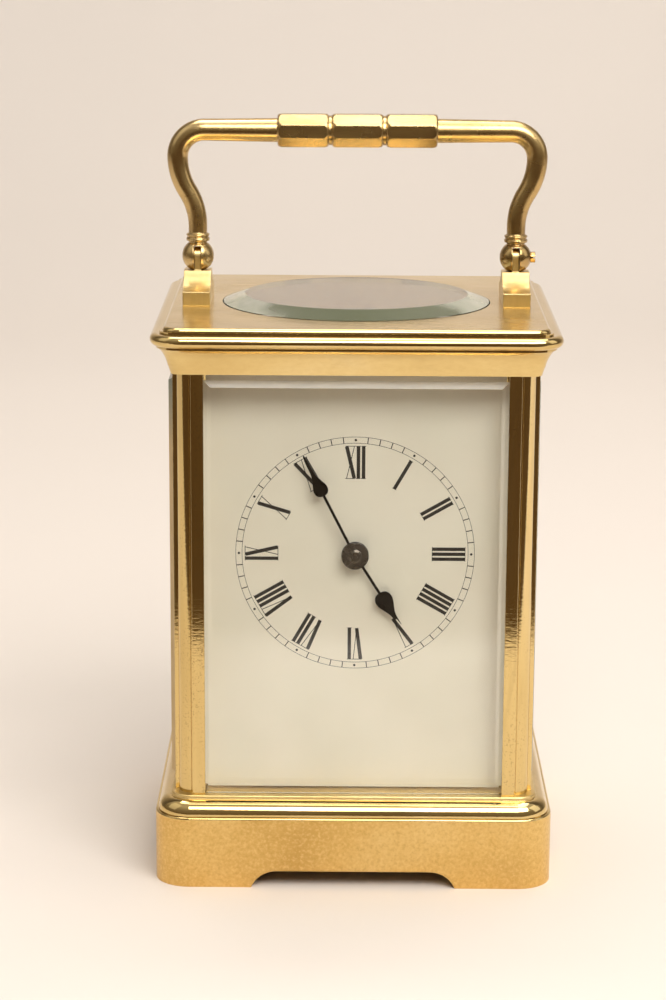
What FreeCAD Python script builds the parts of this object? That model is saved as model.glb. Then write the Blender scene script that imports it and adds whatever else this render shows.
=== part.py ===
import FreeCAD, Part
import math
import os
import Sketcher

# A corniche carriage clock: a glazed brass case with a bail handle, and an eight-day going train with a
# lever platform. Millimetres; the origin is the middle of the base's underside, the dial faces -Y
# and +Z is up.

Vec = FreeCAD.Vector
doc = FreeCAD.newDocument("carriage_clock")
nodes = []

# Distances between the arbors' axes, from the trains' modules and tooth counts.
MODULES = {"great": 0.35, "intermediate": 0.34, "centre": 0.26, "third": 0.22, "contrate": 0.22,
           "minute": 0.25, "hour": 0.24}
TEETH = {"great": (84, 12), "intermediate": (60, 10), "centre": (80, 8), "third": (75, 10),
         "contrate": (64, 8), "minute": (36, 12), "hour": (40, 10)}


def mesh_distance(name):
    """Distance between the axes of a wheel and its pinion."""
    return MODULES[name] * sum(TEETH[name]) / 2


def place_from(start, distance, degrees):
    """The point in the XZ plane that lies at a distance and angle from another."""
    angle = math.radians(degrees)
    return (start[0] + distance * math.cos(angle), start[1] + distance * math.sin(angle))


CENTRE = (0.0, 67.45)
INTERMEDIATE = place_from(CENTRE, mesh_distance("intermediate"), -72.9)
BARREL = place_from(INTERMEDIATE, mesh_distance("great"), -107.3)
THIRD = place_from(CENTRE, mesh_distance("centre"), 44.3)
CONTRATE = (0.0, THIRD[1] + math.sqrt(mesh_distance("third") ** 2 - THIRD[0] ** 2))
MINUTE_STUD = place_from(CENTRE, mesh_distance("minute"), -30.0)

DIMENSIONS = {
    # base
    "base_width": 80.0, "base_depth": 71.0, "base_corner": 7.0, "plinth_height": 14.6,
    "plinth_round": 0.35,
    "quirk": 0.25, "cushion_height": 3.0, "cushion_round": 2.8, "step_inset": 3.1, "base_height": 18.34,
    "step_round": 0.3, "base_wall": 2.4, "deck": 2.54, "window_x": 27.0, "window_y": 24.0,
    "window_corner": 4.0, "apron_bottom": 41.0, "apron_top": 30.8, "apron_height": 3.45,
    "floor_x": 31.0, "floor_y": 27.5, "floor_corner": 5.0, "floor_thick": 1.8,
    # pillars
    "pillar_inset": 4.0, "pillar_span": 3.7, "pillar_leg": 6.2, "pillar_step": 0.8, "pillar_quirk": 0.3,
    "quirk_depth": 0.4, "groove_front": 0.75,
    "groove_back": 1.65, "groove_depth": 1.2, "pillar_chamfer": 3.2, "screw_inset": 3.4,
    "screw_hole": 1.05,
    "screw_radius": 1.0, "screw_depth": 8.5,
    # cornice
    "cornice_bottom": 104.5, "case_height": 113.76, "cornice_width": 80.2, "cornice_depth": 74.0,
    "cornice_corner": 6.0, "torus_height": 111.3, "torus_radius": 1.2, "ceiling": 110.3,
    "opening_x": 29.4, "opening_y": 24.9, "opening_corner": 3.0, "ledge_x": 25.4, "ledge_y": 23.3,
    "seat_x": 27.3, "seat_y": 25.15, "seat_height": 111.3,
    # glasses
    "top_glass_x": 27.1, "top_glass_y": 24.95, "top_glass_edge": 2.55, "top_glass_bevel": 1.55,
    "top_glass_inset": 4.4, "pane_thick": 0.8, "bevel_depth": 1.2, "pane_bottom": 18.4,
    "pane_top": 104.44,
    "bevel_bottom": 19.9, "bevel_top": 103.0, "bevel_width": 1.6, "bevel_rise": 1.25, "pane_gap": 0.05,
    "left_proud": 0.6,
    # rear door
    "door_inner": 29.3, "door_thick": 2.0, "door_x": 29.65, "door_bottom": 18.6, "door_top": 104.24,
    "door_bar": 4.65, "door_rebate": 1.0, "door_lip": 1.0, "hinge_x": 28.55, "hinge_y": 30.9,
    "hinge_radius": 0.5, "hinge_bore": 0.55, "hinge_reach": 3.0, "knob_x": 27.2, "knob_height": 61.4,
    # handle
    "post_x": 32.3, "post_width": 5.55, "post_foot": 7.9, "post_foot_height": 2.85, "post_waist": 2.0,
    "post_top": 120.1, "post_flare": 7.5, "pivot_height": 122.94, "globe_radius": 3.25, "globe_gap": 0.12,
    "tongue_thick": 1.35, "tongue_radius": 1.8, "slot_width": 1.5, "slot_top": 2.2, "pivot_radius": 0.8,
    "pivot_bore": 0.85, "post_screw_y": 5.0, "arm_radius": 1.85, "arm_thick": 2.45, "arm_offset": 4.0,
    "arm_start": 129.0, "arm_end": 143.0, "bend_radius": 5.4, "grip_half": 16.1, "grip_flats": 6.55,
    "grip_groove": 0.6,
    # dial and hands
    "dial_front": 26.6, "dial_thick": 1.2, "dial_x": 29.5, "dial_bottom": 18.9, "dial_top": 104.2,
    "dial_bore": 2.2, "foot_x": 23.5, "foot_low": 30.0, "foot_high": 70.0, "foot_radius": 0.8,
    "foot_bore": 0.82, "hour_hand_front": 27.95, "minute_hand_front": 28.75, "hand_thick": 0.35,
    "minute_length": 22.7, "hour_length": 15.5, "hub_radius": 2.7,
    # movement
    "centre_z": CENTRE[1], "plate_x": 26.0, "plate_top": 90.0, "front_plate": 21.0,
    "back_plate": 15.0, "plate_thick": 2.0, "pillar_x": 22.5, "plate_pillar_low": 18.0,
    "plate_pillar_high": 85.6, "plate_pillar_radius": 2.15, "intermediate_x": INTERMEDIATE[0],
    "intermediate_z": INTERMEDIATE[1], "barrel_x": BARREL[0], "barrel_z": BARREL[1], "third_x": THIRD[0],
    "third_z": THIRD[1], "contrate_z": CONTRATE[1], "minute_stud_x": MINUTE_STUD[0],
    "minute_stud_z": MINUTE_STUD[1], "small_pivot": 0.4, "pivot_gap": 0.05,
    "centre_pivot": 0.7, "barrel_pivot": 1.6, "drum_radius": 13.6, "drum_wall": 1.2, "drum_front": -14.5,
    "drum_back": 5.0, "winding_square": 2.2, "ratchet_radius": 6.0, "click_x": 8.6, "click_z": 5.2,
    # platform
    "platform_x": 15.0, "platform_thick": 1.5, "escape_y": 4.0, "lever_y": -0.33, "balance_y": -6.6,
    "escape_radius": 3.75, "balance_radius": 7.5, "platform_screw_x": 12.0,
}

dims = doc.addObject("Spreadsheet::Sheet", "dims")
for row, (alias, number) in enumerate(DIMENSIONS.items(), start=1):
    dims.set(f"A{row}", alias)
    dims.set(f"B{row}", str(round(number, 5)))
    dims.setAlias(f"B{row}", alias)
doc.recompute()


# ---------------------------------------------------------------- working functions

def value(expression):
    """The number that an expression in the sheet's cells comes to."""
    return float(dims.evalExpression(expression))


def cell(alias):
    return value(f"dims.{alias}")


def facing(degrees):
    """Turns a flat piece drawn on XY upright; 0 faces -Y, 90 faces +X, 180 faces +Y, -90 faces -X."""
    return FreeCAD.Rotation(Vec(0, 0, 1), degrees) * FreeCAD.Rotation(Vec(1, 0, 0), 90)


ALONG_Y = FreeCAD.Rotation(Vec(1, 0, 0), -90)


def keep(item, name):
    """Registers an object as a node of the clock."""
    item.Label = name
    nodes.append(item)
    return item


def move_to(item, x="0", y="0", z="0", rotation=FreeCAD.Rotation()):
    """Turns an object, and binds its place to the sheet."""
    item.Placement = FreeCAD.Placement(Vec(), rotation)
    for axis, expression in zip("xyz", (x, y, z)):
        item.setExpression(f"Placement.Base.{axis}", expression)


def new_body(name, x="0", y="0", z="0", rotation=FreeCAD.Rotation()):
    body = doc.addObject("PartDesign::Body", name)
    move_to(body, x, y, z, rotation)
    return keep(body, name)


def new_sketch(body, offset="0", role="XY_Plane"):
    """An empty sketch on one of the body's own origin planes."""
    sketch = body.newObject("Sketcher::SketchObject", f"{body.Name}_sketch")
    origin_plane = next(item for item in body.Origin.OriginFeatures if item.Role == role)
    sketch.AttachmentSupport = [(origin_plane, "")]
    sketch.MapMode = "FlatFace"
    sketch.setExpression("AttachmentOffset.Base.z", offset)
    return sketch


def bind_point(sketch, geometry, position, x, y):
    """Holds a point of the sketch at x, y from its origin."""
    for kind, expression in (("DistanceX", x), ("DistanceY", y)):
        rule = Sketcher.Constraint(kind, -1, 1, geometry, position, value(expression))
        number_of_rule = sketch.addConstraint(rule)
        sketch.setExpression(f"Constraints[{number_of_rule}]", expression)


def bind_size(sketch, rule, expression):
    sketch.setExpression(f"Constraints[{sketch.addConstraint(rule)}]", expression)


def arc_centre(start, end, radius, turn):
    """Centre of an arc under half a turn, anticlockwise (turn 1) or clockwise (turn -1)."""
    chord = end - start
    middle = (start + end) * 0.5
    height = math.sqrt(max(radius ** 2 - chord.Length ** 2 / 4, 0))
    across = Vec(-chord.y, chord.x, 0).normalize()
    return middle + across * height * turn


def outline(sketch, corners):
    """A closed path. A corner is (x, y), or (x, y, radius, turn) where an arc leads to the next one."""
    places = [Vec(value(corner[0]), value(corner[1]), 0) for corner in corners]
    first = sketch.GeometryCount
    starts = []
    for index, corner in enumerate(corners):
        start, end = places[index], places[(index + 1) % len(places)]
        if len(corner) == 2:
            sketch.addGeometry(Part.LineSegment(start, end), False)
            starts.append(1)
            continue
        radius, turn = value(corner[2]), corner[3]
        centre = arc_centre(start, end, radius, turn)
        ends = (start, end) if turn > 0 else (end, start)
        angles = [math.atan2(place.y - centre.y, place.x - centre.x) for place in ends]
        circle = Part.Circle(centre, Vec(0, 0, 1), radius)
        sketch.addGeometry(Part.ArcOfCircle(circle, angles[0], angles[1]), False)
        starts.append(1 if turn > 0 else 2)
    for index, corner in enumerate(corners):
        following = (index + 1) % len(corners)
        join = (first + index, 3 - starts[index], first + following, starts[following])
        sketch.addConstraint(Sketcher.Constraint("Coincident", *join))
    for index, corner in enumerate(corners):
        bind_point(sketch, first + index, starts[index], corner[0], corner[1])
        if len(corner) > 2:
            bind_size(sketch, Sketcher.Constraint("Radius", first + index, value(corner[2])), corner[2])
    return sketch


def rectangle(sketch, half_x, half_y, corner=None, low_y=None):
    """A rectangle about the origin, rounded if corner is given; low_y moves its lower edge."""
    low = f"({low_y})" if low_y else f"-({half_y})"
    half_x, half_y = f"({half_x})", f"({half_y})"
    if corner is None:
        return outline(sketch, [(f"-{half_x}", low), (half_x, low), (half_x, half_y),
                                (f"-{half_x}", half_y)])
    corner = f"({corner})"
    x_in, y_in, y_low = f"({half_x} - {corner})", f"({half_y} - {corner})", f"({low} + {corner})"
    return outline(sketch, [
        (f"-{x_in}", low), (x_in, low, corner, 1), (half_x, y_low), (half_x, y_in, corner, 1),
        (x_in, half_y), (f"-{x_in}", half_y, corner, 1), (f"-{half_x}", y_in),
        (f"-{half_x}", y_low, corner, 1)])


def circles(sketch, places):
    """Circles at (x, y, radius)."""
    for x, y, radius in places:
        circle = Part.Circle(Vec(value(x), value(y), 0), Vec(0, 0, 1), value(radius))
        index = sketch.addGeometry(circle, False)
        bind_point(sketch, index, 3, x, y)
        bind_size(sketch, Sketcher.Constraint("Radius", index, value(radius)), radius)
    return sketch


def oval(sketch, half_x, half_y):
    """An ellipse about the sketch's origin, longer along x."""
    ellipse = sketch.addGeometry(Part.Ellipse(Vec(), value(half_x), value(half_y)), False)
    sketch.exposeInternalGeometry(ellipse)
    sketch.addConstraint(Sketcher.Constraint("Coincident", ellipse, 3, -1, 1))
    sketch.addConstraint(Sketcher.Constraint("Horizontal", ellipse + 1))
    for line, half in ((ellipse + 1, half_x), (ellipse + 2, half_y)):
        bind_size(sketch, Sketcher.Constraint("Distance", line, 2 * value(half)), f"2 * ({half})")
    return sketch


def pad(sketch, length, both_ways=False, reverse=False):
    body = sketch.getParentGeoFeatureGroup()
    feature = body.newObject("PartDesign::Pad", f"{body.Name}_pad")
    feature.Profile = sketch
    feature.setExpression("Length", length)
    feature.Midplane = both_ways
    feature.Reversed = reverse
    return feature


def pocket(sketch, length=None, both_ways=False, reverse=False):
    """Cuts a sketch out of its body, to a depth or right through, and makes sure that it cuts."""
    body = sketch.getParentGeoFeatureGroup()
    doc.recompute()
    before = body.Shape.Volume
    feature = body.newObject("PartDesign::Pocket", f"{body.Name}_pocket")
    feature.Profile = sketch
    if length is None:
        feature.Type = "ThroughAll"
    else:
        feature.setExpression("Length", length)
    feature.Midplane = both_ways
    feature.Reversed = reverse
    doc.recompute()
    if body.Shape.Volume > before - 1e-4:
        raise ValueError(f"{body.Label}: a pocket cuts nothing")
    return feature


def round_edges(body, radius, chosen):
    """Fillets the edges whose middle passes the test."""
    doc.recompute()
    base = body.Tip
    names = [f"Edge{number}" for number, edge in enumerate(base.Shape.Edges, start=1)
             if chosen(edge.CenterOfMass, edge)]
    feature = body.newObject("PartDesign::Fillet", f"{body.Name}_fillet")
    feature.Base = (base, names)
    feature.setExpression("Radius", radius)
    return feature


def solid_node(name, shape, place=Vec(), rotation=FreeCAD.Rotation()):
    """A node whose shape comes from Part's own functions, then gets its placement."""
    item = doc.addObject("Part::Feature", name)
    item.Shape = shape
    item.Placement = FreeCAD.Placement(place, rotation)
    return keep(item, name)


def disc(radius, low, high, x=0.0, y=0.0):
    """A cylinder along Z from one height to another."""
    return Part.makeCylinder(radius, high - low, Vec(x, y, low))


def ring(outer, inner, low, high):
    return disc(outer, low, high).cut(disc(inner, low - 1, high + 1))


def block(x_range, y_range, z_range):
    """A box between two bounds on each axis."""
    spans = [bounds[1] - bounds[0] for bounds in (x_range, y_range, z_range)]
    return Part.makeBox(*spans, Vec(x_range[0], y_range[0], z_range[0]))


def joined(shapes):
    return shapes[0].multiFuse(shapes[1:]).removeSplitter()


def prism(points, low, height):
    """A flat outline of straight lines, raised along Z."""
    corners = [Vec(x, y, low) for x, y in points]
    return Part.Face(Part.makePolygon(corners + corners[:1])).extrude(Vec(0, 0, height))


def turned(profile):
    """A solid turned about Z from (radius, height) points."""
    corners = [Vec(radius, 0, height) for radius, height in profile]
    return Part.Face(Part.makePolygon(corners + corners[:1])).revolve(Vec(), Vec(0, 0, 1), 360)


def screw(shank, length, head, head_height):
    """A slotted screw: its head's underside is at height 0 and its shank points down."""
    dome = 0.2 * head_height
    slot = block((-head - 1, head + 1), (-0.12 * head, 0.12 * head), (0.5 * head_height, head_height + 1))
    body = turned([(0, -length), (shank - 0.1, -length), (shank, 0.1 - length), (shank, 0), (head, 0),
                   (head, head_height - dome), (head - dome, head_height), (0, head_height)])
    return body.cut(slot)


def moved(shape, x=0.0, y=0.0, z=0.0, rotation=FreeCAD.Rotation()):
    copy = shape.copy()
    copy.Placement = FreeCAD.Placement(Vec(x, y, z), rotation)
    return copy


# ---------------------------------------------------------------- base

BASE_X = "dims.base_width / 2"
BASE_Y = "dims.base_depth / 2"


def build_base():
    """Hollow plinth with a cushion moulding, a stepped deck with a window, and shaped aprons."""
    body = new_body("base_moulding")
    cushion_top = "(dims.plinth_height + dims.cushion_height)"
    pad(rectangle(new_sketch(body), BASE_X, BASE_Y, "dims.base_corner"), "dims.plinth_height")
    top = cell("plinth_height")
    round_edges(body, "dims.plinth_round", lambda middle, edge: abs(middle.z - top) < 0.01)
    cushion = new_sketch(body, "dims.plinth_height")
    rectangle(cushion, f"{BASE_X} - dims.quirk - dims.plinth_round",
              f"{BASE_Y} - dims.quirk - dims.plinth_round",
              "dims.base_corner - dims.quirk - dims.plinth_round")
    pad(cushion, "dims.cushion_height")
    top = value(cushion_top)
    round_edges(body, "dims.cushion_round", lambda middle, edge: abs(middle.z - top) < 0.01)
    step = new_sketch(body, cushion_top)
    rectangle(step, f"{BASE_X} - dims.step_inset", f"{BASE_Y} - dims.step_inset",
              "dims.base_corner - dims.step_inset")
    pad(step, f"dims.base_height - {cushion_top}")
    round_edges(body, "dims.step_round", lambda middle, edge: abs(middle.z - cell("base_height")) < 0.01)
    cavity = new_sketch(body)
    rectangle(cavity, f"{BASE_X} - dims.base_wall", f"{BASE_Y} - dims.base_wall",
              "dims.base_corner - dims.base_wall")
    pocket(cavity, "dims.base_height - dims.deck", reverse=True)
    window = rectangle(new_sketch(body), "dims.window_x", "dims.window_y", "dims.window_corner")
    pocket(window, reverse=True)
    cut_aprons(body)
    holes = new_sketch(body)
    screws = [(f"{side} * ({PILLAR_X} - dims.screw_inset)", f"{end} * ({PILLAR_Y} - dims.screw_inset)",
               "dims.screw_hole") for side in (-1, 1) for end in (-1, 1)]
    circles(holes, screws + [("dims.hinge_x", "dims.hinge_y", "dims.hinge_bore")])
    pocket(holes, reverse=True)
    floor_screws = new_sketch(body)
    circles(floor_screws, [(f"{x} * (dims.floor_x - 2)", f"{y} * dims.floor_y / 2", "0.6")
                           for x in (-1, 1) for y in (-1, 1)])
    pocket(floor_screws, "dims.base_height - 0.6", reverse=True)


def cut_aprons(body):
    """The low arch in the middle of each side, with quarter-round ends."""
    for role, shrink in (("XZ_Plane", "0"), ("YZ_Plane", "(dims.base_width - dims.base_depth)")):
        low = f"(dims.apron_bottom - {shrink}) / 2"
        high = f"(dims.apron_top - {shrink}) / 2"
        rise = "dims.apron_height"
        radius = f"((({low}) - ({high})) * (({low}) - ({high})) + {rise} * {rise}) / (2 * {rise})"
        arch = new_sketch(body, role=role)
        outline(arch, [(f"-({low})", "-1"), (low, "-1"), (low, "0", radius, 1), (high, rise),
                       (f"-({high})", rise, radius, 1), (f"-({low})", "0")])
        pocket(arch, "dims.base_width + 4", both_ways=True)


def build_floor():
    """Plate screwed under the deck, which carries the movement, and its screws."""
    top = "(dims.base_height - dims.deck)"
    body = new_body("base_floor", z=f"{top} - dims.floor_thick")
    pad(rectangle(new_sketch(body), "dims.floor_x", "dims.floor_y", "dims.floor_corner"),
        "dims.floor_thick")
    holes = new_sketch(body)
    circles(holes, [(f"{x} * (dims.floor_x - 2)", f"{y} * dims.floor_y / 2", "0.65") for x in (-1, 1)
                    for y in (-1, 1)]
            + [(f"{x} * dims.pillar_x", y, "0.95") for x in (-1, 1) for y in ("-14", "8")])
    pocket(holes, reverse=True)
    under = value(f"{top} - dims.floor_thick")
    upside_down = FreeCAD.Rotation(Vec(1, 0, 0), 180)
    small = screw(0.55, 3.3, 1.3, 0.9)
    x, y = cell("floor_x") - 2, cell("floor_y") / 2
    screws = [moved(small, a * x, b * y, under, upside_down) for a in (-1, 1) for b in (-1, 1)]
    large = screw(0.9, 4.6, 1.7, 1.1)
    x = cell("pillar_x")
    screws += [moved(large, a * x, y, under, upside_down) for a in (-1, 1) for y in (-14, 8)]
    solid_node("floor_screws", Part.Compound(screws))


# ---------------------------------------------------------------- pillars

PILLAR_X = "(dims.base_width / 2 - dims.pillar_inset)"
PILLAR_Y = "(dims.base_depth / 2 - dims.pillar_inset)"


def pillar_section(side, end):
    """Outline of a pillar: a quarter-round corner set between two flat strips by narrow quirks.

    Distances run inward from the pillar's outer corner; a rear pillar has no groove behind the door's strip."""
    def corner(across, along, *arc):
        return (f"{side} * ({PILLAR_X} - ({across}))", f"{end} * ({PILLAR_Y} - ({along}))", *arc)
    span, leg, step = "dims.pillar_span", "dims.pillar_leg", "dims.pillar_step"
    front, back, deep = "dims.groove_front", "dims.groove_back", "dims.pillar_leg - dims.groove_depth"
    points = [corner(span, "0"), corner(leg, "0")]
    if end < 0:
        points += [corner(leg, front), corner(deep, front), corner(deep, back), corner(leg, back)]
    points += [corner(leg, "dims.pillar_chamfer"), corner("dims.pillar_chamfer", leg)]
    points += [corner(back, leg), corner(back, deep), corner(front, deep), corner(front, leg)]
    points += [corner("0", leg), corner("0", span)]
    sunk, round_end = f"{step} + dims.quirk_depth", f"{span} - dims.pillar_quirk"
    points += [corner(sunk, span), corner(sunk, round_end)]
    points += [corner(step, round_end, f"{round_end} - {step}", side * end), corner(round_end, step)]
    points += [corner(round_end, sunk), corner(span, sunk)]
    return points


def build_pillars():
    height = "(dims.cornice_bottom - dims.base_height)"
    for end, end_name in ((-1, "front"), (1, "rear")):
        for side, side_name in ((-1, "left"), (1, "right")):
            body = new_body(f"pillar_{end_name}_{side_name}", z="dims.base_height")
            pad(outline(new_sketch(body), pillar_section(side, end)), height)
            hole = (f"{side} * ({PILLAR_X} - dims.screw_inset)",
                    f"{end} * ({PILLAR_Y} - dims.screw_inset)",
                    "dims.screw_hole")
            pocket(circles(new_sketch(body), [hole]), "dims.screw_depth + 0.5", reverse=True)
            pocket(circles(new_sketch(body, height), [hole]), "dims.screw_depth + 0.5")
    x, y = value(f"{PILLAR_X} - dims.screw_inset"), value(f"{PILLAR_Y} - dims.screw_inset")
    corners = [(a * x, b * y) for a in (-1, 1) for b in (-1, 1)]
    under = value("dims.base_height - dims.deck")
    upside_down = FreeCAD.Rotation(Vec(1, 0, 0), 180)
    long_screw = screw(cell("screw_radius"), value("dims.deck + dims.screw_depth"), 1.9, 1.3)
    long_screws = [moved(long_screw, a, b, under, upside_down) for a, b in corners]
    solid_node("pillar_screws", Part.Compound(long_screws))
    stud = disc(cell("screw_radius"), value("dims.cornice_bottom - dims.screw_depth"),
                cell("cornice_bottom") + 5)
    solid_node("pillar_studs", Part.Compound([moved(stud, a, b) for a, b in corners]))


# ---------------------------------------------------------------- cornice and glasses

def cornice_profile(sketch):
    """Half section of the moulding: cavetto, torus, two small steps and the edge of the top."""
    def corner(inset, height, *arc):
        return (f"dims.cornice_width / 2 - ({inset})", height, *arc)
    centre, radius = "dims.torus_height", "dims.torus_radius"
    return outline(sketch, [
        corner("5", "dims.cornice_bottom"), corner("4.0", "dims.cornice_bottom"),
        corner("3.55", f"{centre} - 5.4"), corner("3.4", f"{centre} - 5.1", "6.6", -1),
        corner("1.6", f"{centre} - 1.75"), corner("1.2", f"{centre} - 1.6"),
        corner(radius, f"{centre} - {radius}", radius, 1), corner("0", centre, radius, 1),
        corner(radius, f"{centre} + {radius}"), corner("1.9", f"{centre} + {radius}"),
        corner("1.9", f"{centre} + 1.7"), corner("2.5", f"{centre} + 1.7", "0.75", 1),
        corner("3.2", "dims.case_height"), corner("5", "dims.case_height")])


def build_cornice():
    """Moulding swept around the case, filled in, then hollowed for the movement and the oval glass."""
    body = new_body("cornice")
    path = rectangle(new_sketch(body, "dims.torus_height"), "dims.cornice_width / 2",
                     "dims.cornice_depth / 2", "dims.cornice_corner")
    moulding = body.newObject("PartDesign::AdditivePipe", "cornice_moulding")
    moulding.Profile = cornice_profile(new_sketch(body, role="XZ_Plane"))
    moulding.Spine = (path, [])
    fill = new_sketch(body, "dims.cornice_bottom")
    rectangle(fill, "dims.cornice_width / 2 - 4", "dims.cornice_depth / 2 - 4", "dims.cornice_corner - 4")
    pad(fill, "dims.case_height - dims.cornice_bottom")
    opening = rectangle(new_sketch(body, "dims.cornice_bottom"), "dims.opening_x", "dims.opening_y",
                        "dims.opening_corner")
    pocket(opening, "dims.ceiling - dims.cornice_bottom", reverse=True)
    pocket(oval(new_sketch(body), "dims.ledge_x", "dims.ledge_y"), reverse=True)
    pocket(oval(new_sketch(body, "dims.seat_height"), "dims.seat_x", "dims.seat_y"), reverse=True)
    studs = circles(new_sketch(body, "dims.cornice_bottom"), [
        (f"{a} * ({PILLAR_X} - dims.screw_inset)", f"{b} * ({PILLAR_Y} - dims.screw_inset)",
         "dims.screw_hole")
        for a in (-1, 1) for b in (-1, 1)])
    pocket(studs, "5.3", reverse=True)
    hinge = circles(new_sketch(body, "dims.cornice_bottom"),
                    [("dims.hinge_x", "dims.hinge_y", "dims.hinge_bore")])
    pocket(hinge, "dims.hinge_reach", reverse=True)
    screws = [(f"{a} * dims.post_x", f"{b} * dims.post_screw_y") for a in (-1, 1) for b in (-1, 1)]
    pocket(circles(new_sketch(body), [(x, y, "1.05") for x, y in screws]), reverse=True)
    heads = circles(new_sketch(body, "dims.cornice_bottom"), [(x, y, "1.75") for x, y in screws])
    pocket(heads, "1.9", reverse=True)


def build_top_glass():
    """Oval glass in its seat, with a wide bevel that stands above the cornice."""
    body = new_body("top_glass", z="dims.seat_height")
    pad(oval(new_sketch(body), "dims.top_glass_x", "dims.top_glass_y"), "dims.top_glass_edge")
    low = oval(new_sketch(body, "dims.top_glass_edge"), "dims.top_glass_x", "dims.top_glass_y")
    high = oval(new_sketch(body, "dims.top_glass_edge + dims.top_glass_bevel"),
                "dims.top_glass_x - dims.top_glass_inset", "dims.top_glass_y - dims.top_glass_inset")
    bevel = body.newObject("PartDesign::AdditiveLoft", "top_glass_bevel")
    bevel.Profile = low
    bevel.Sections = [high]


def build_pane(name, half_width, half_bevel, degrees, x, y, rise="dims.bevel_depth"):
    """A bevelled pane: a thin tongue in the pillars' grooves and a raised field with bevelled edges."""
    middle = "(dims.bevel_bottom + dims.bevel_top) / 2"
    thick = "dims.pane_thick"
    body = new_body(name, x, y, middle, facing(degrees))
    tongue = new_sketch(body)
    rectangle(tongue, half_width, f"dims.pane_top - {middle}", low_y=f"dims.pane_bottom - {middle}")
    pad(tongue, thick)
    half_height = "(dims.bevel_top - dims.bevel_bottom) / 2"
    low = rectangle(new_sketch(body, thick), half_bevel, half_height)
    high = rectangle(new_sketch(body, f"{thick} + {rise}"), f"{half_bevel} - dims.bevel_width",
                     f"{half_height} - dims.bevel_rise")
    field = body.newObject("PartDesign::AdditiveLoft", f"{name}_field")
    field.Profile = low
    field.Sections = [high]


def build_panes():
    reach = "(dims.pillar_leg - dims.groove_depth)"
    back = "(dims.groove_back - dims.pane_gap)"
    wide = "dims.pane_gap + 0.15"
    build_pane("front_glass", f"{PILLAR_X} - {reach} - dims.pane_gap",
               f"{PILLAR_X} - dims.pillar_leg - {wide}",
               0, "0", f"{back} - {PILLAR_Y}")
    side_width = f"{PILLAR_Y} - {reach} - dims.pane_gap"
    side_bevel = f"{PILLAR_Y} - dims.pillar_leg - {wide}"
    build_pane("left_glass", side_width, side_bevel, -90, f"{back} - {PILLAR_X}", "0",
               rise="dims.bevel_depth + dims.left_proud")
    build_pane("right_glass", side_width, side_bevel, 90, f"{PILLAR_X} - {back}", "0")


# ---------------------------------------------------------------- rear door

def build_door():
    """Hinged frame with a bevelled glass in a rebate, its hinge pins and its knob."""
    middle = "(dims.door_bottom + dims.door_top) / 2"
    half_height = "(dims.door_top - dims.door_bottom) / 2"
    frame = new_body("rear_door_frame", "0", "dims.door_inner", middle, facing(180))
    pad(rectangle(new_sketch(frame), "dims.door_x", half_height), "dims.door_thick")
    window = ("dims.door_x - dims.door_bar", f"{half_height} - dims.door_bar")
    pocket(rectangle(new_sketch(frame), *window), reverse=True)
    rebate = rectangle(new_sketch(frame), *(f"{side} + dims.door_lip" for side in window))
    pocket(rebate, "dims.door_rebate", reverse=True)
    knob_hole = circles(new_sketch(frame), [("dims.knob_x", f"dims.knob_height - {middle}", "0.8")])
    pocket(knob_hole, reverse=True)
    hinge_axis = "dims.door_inner - dims.hinge_y"
    for offset, back in ((half_height, True), (f"-({half_height})", False)):
        hole = new_sketch(frame, f"-({offset})", "XZ_Plane")
        circles(hole, [("-dims.hinge_x", f"-({hinge_axis})", "dims.hinge_radius")])
        pocket(hole, "dims.hinge_reach", reverse=back)
    glass = new_body("rear_door_glass", "0", "dims.door_inner + 0.02", middle, facing(180))
    gap = "0.08"
    pad(rectangle(new_sketch(glass), *(f"{side} + dims.door_lip - {gap}" for side in window)),
        "dims.door_rebate - 0.04")
    low = rectangle(new_sketch(glass, "dims.door_rebate - 0.04"), *(f"{side} - {gap}" for side in window))
    high = rectangle(new_sketch(glass, "dims.door_thick + 0.1"),
                     *(f"{side} - dims.bevel_width" for side in window))
    field = glass.newObject("PartDesign::AdditiveLoft", "rear_door_field")
    field.Profile = low
    field.Sections = [high]
    build_hinge_pins()
    build_knob()


def build_hinge_pins():
    x, y, radius, reach = (cell(name) for name in ("hinge_x", "hinge_y", "hinge_radius", "hinge_reach"))
    low = disc(radius, cell("door_bottom") - 2, cell("door_bottom") + reach)
    high = disc(radius, cell("door_top") - reach, cell("door_top") + 2)
    solid_node("door_hinge_pins", Part.Compound([moved(low, x, y), moved(high, x, y)]))


def build_knob():
    """Turned knob with its shank through the door."""
    flange = disc(1.5, 0, 0.5).fuse(disc(0.8, -value("dims.door_thick"), 0.01))
    stem = turned([(0, 0.4), (0.9, 0.4), (0.65, 1.2), (0.8, 2.2), (0, 2.2)])
    ball = Part.makeSphere(1.45, Vec(0, 0, 3.2))
    place = Vec(-cell("knob_x"), value("dims.door_inner + dims.door_thick"), cell("knob_height"))
    solid_node("door_knob", joined([flange, stem, ball]), place, ALONG_Y)


# ---------------------------------------------------------------- handle

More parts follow.
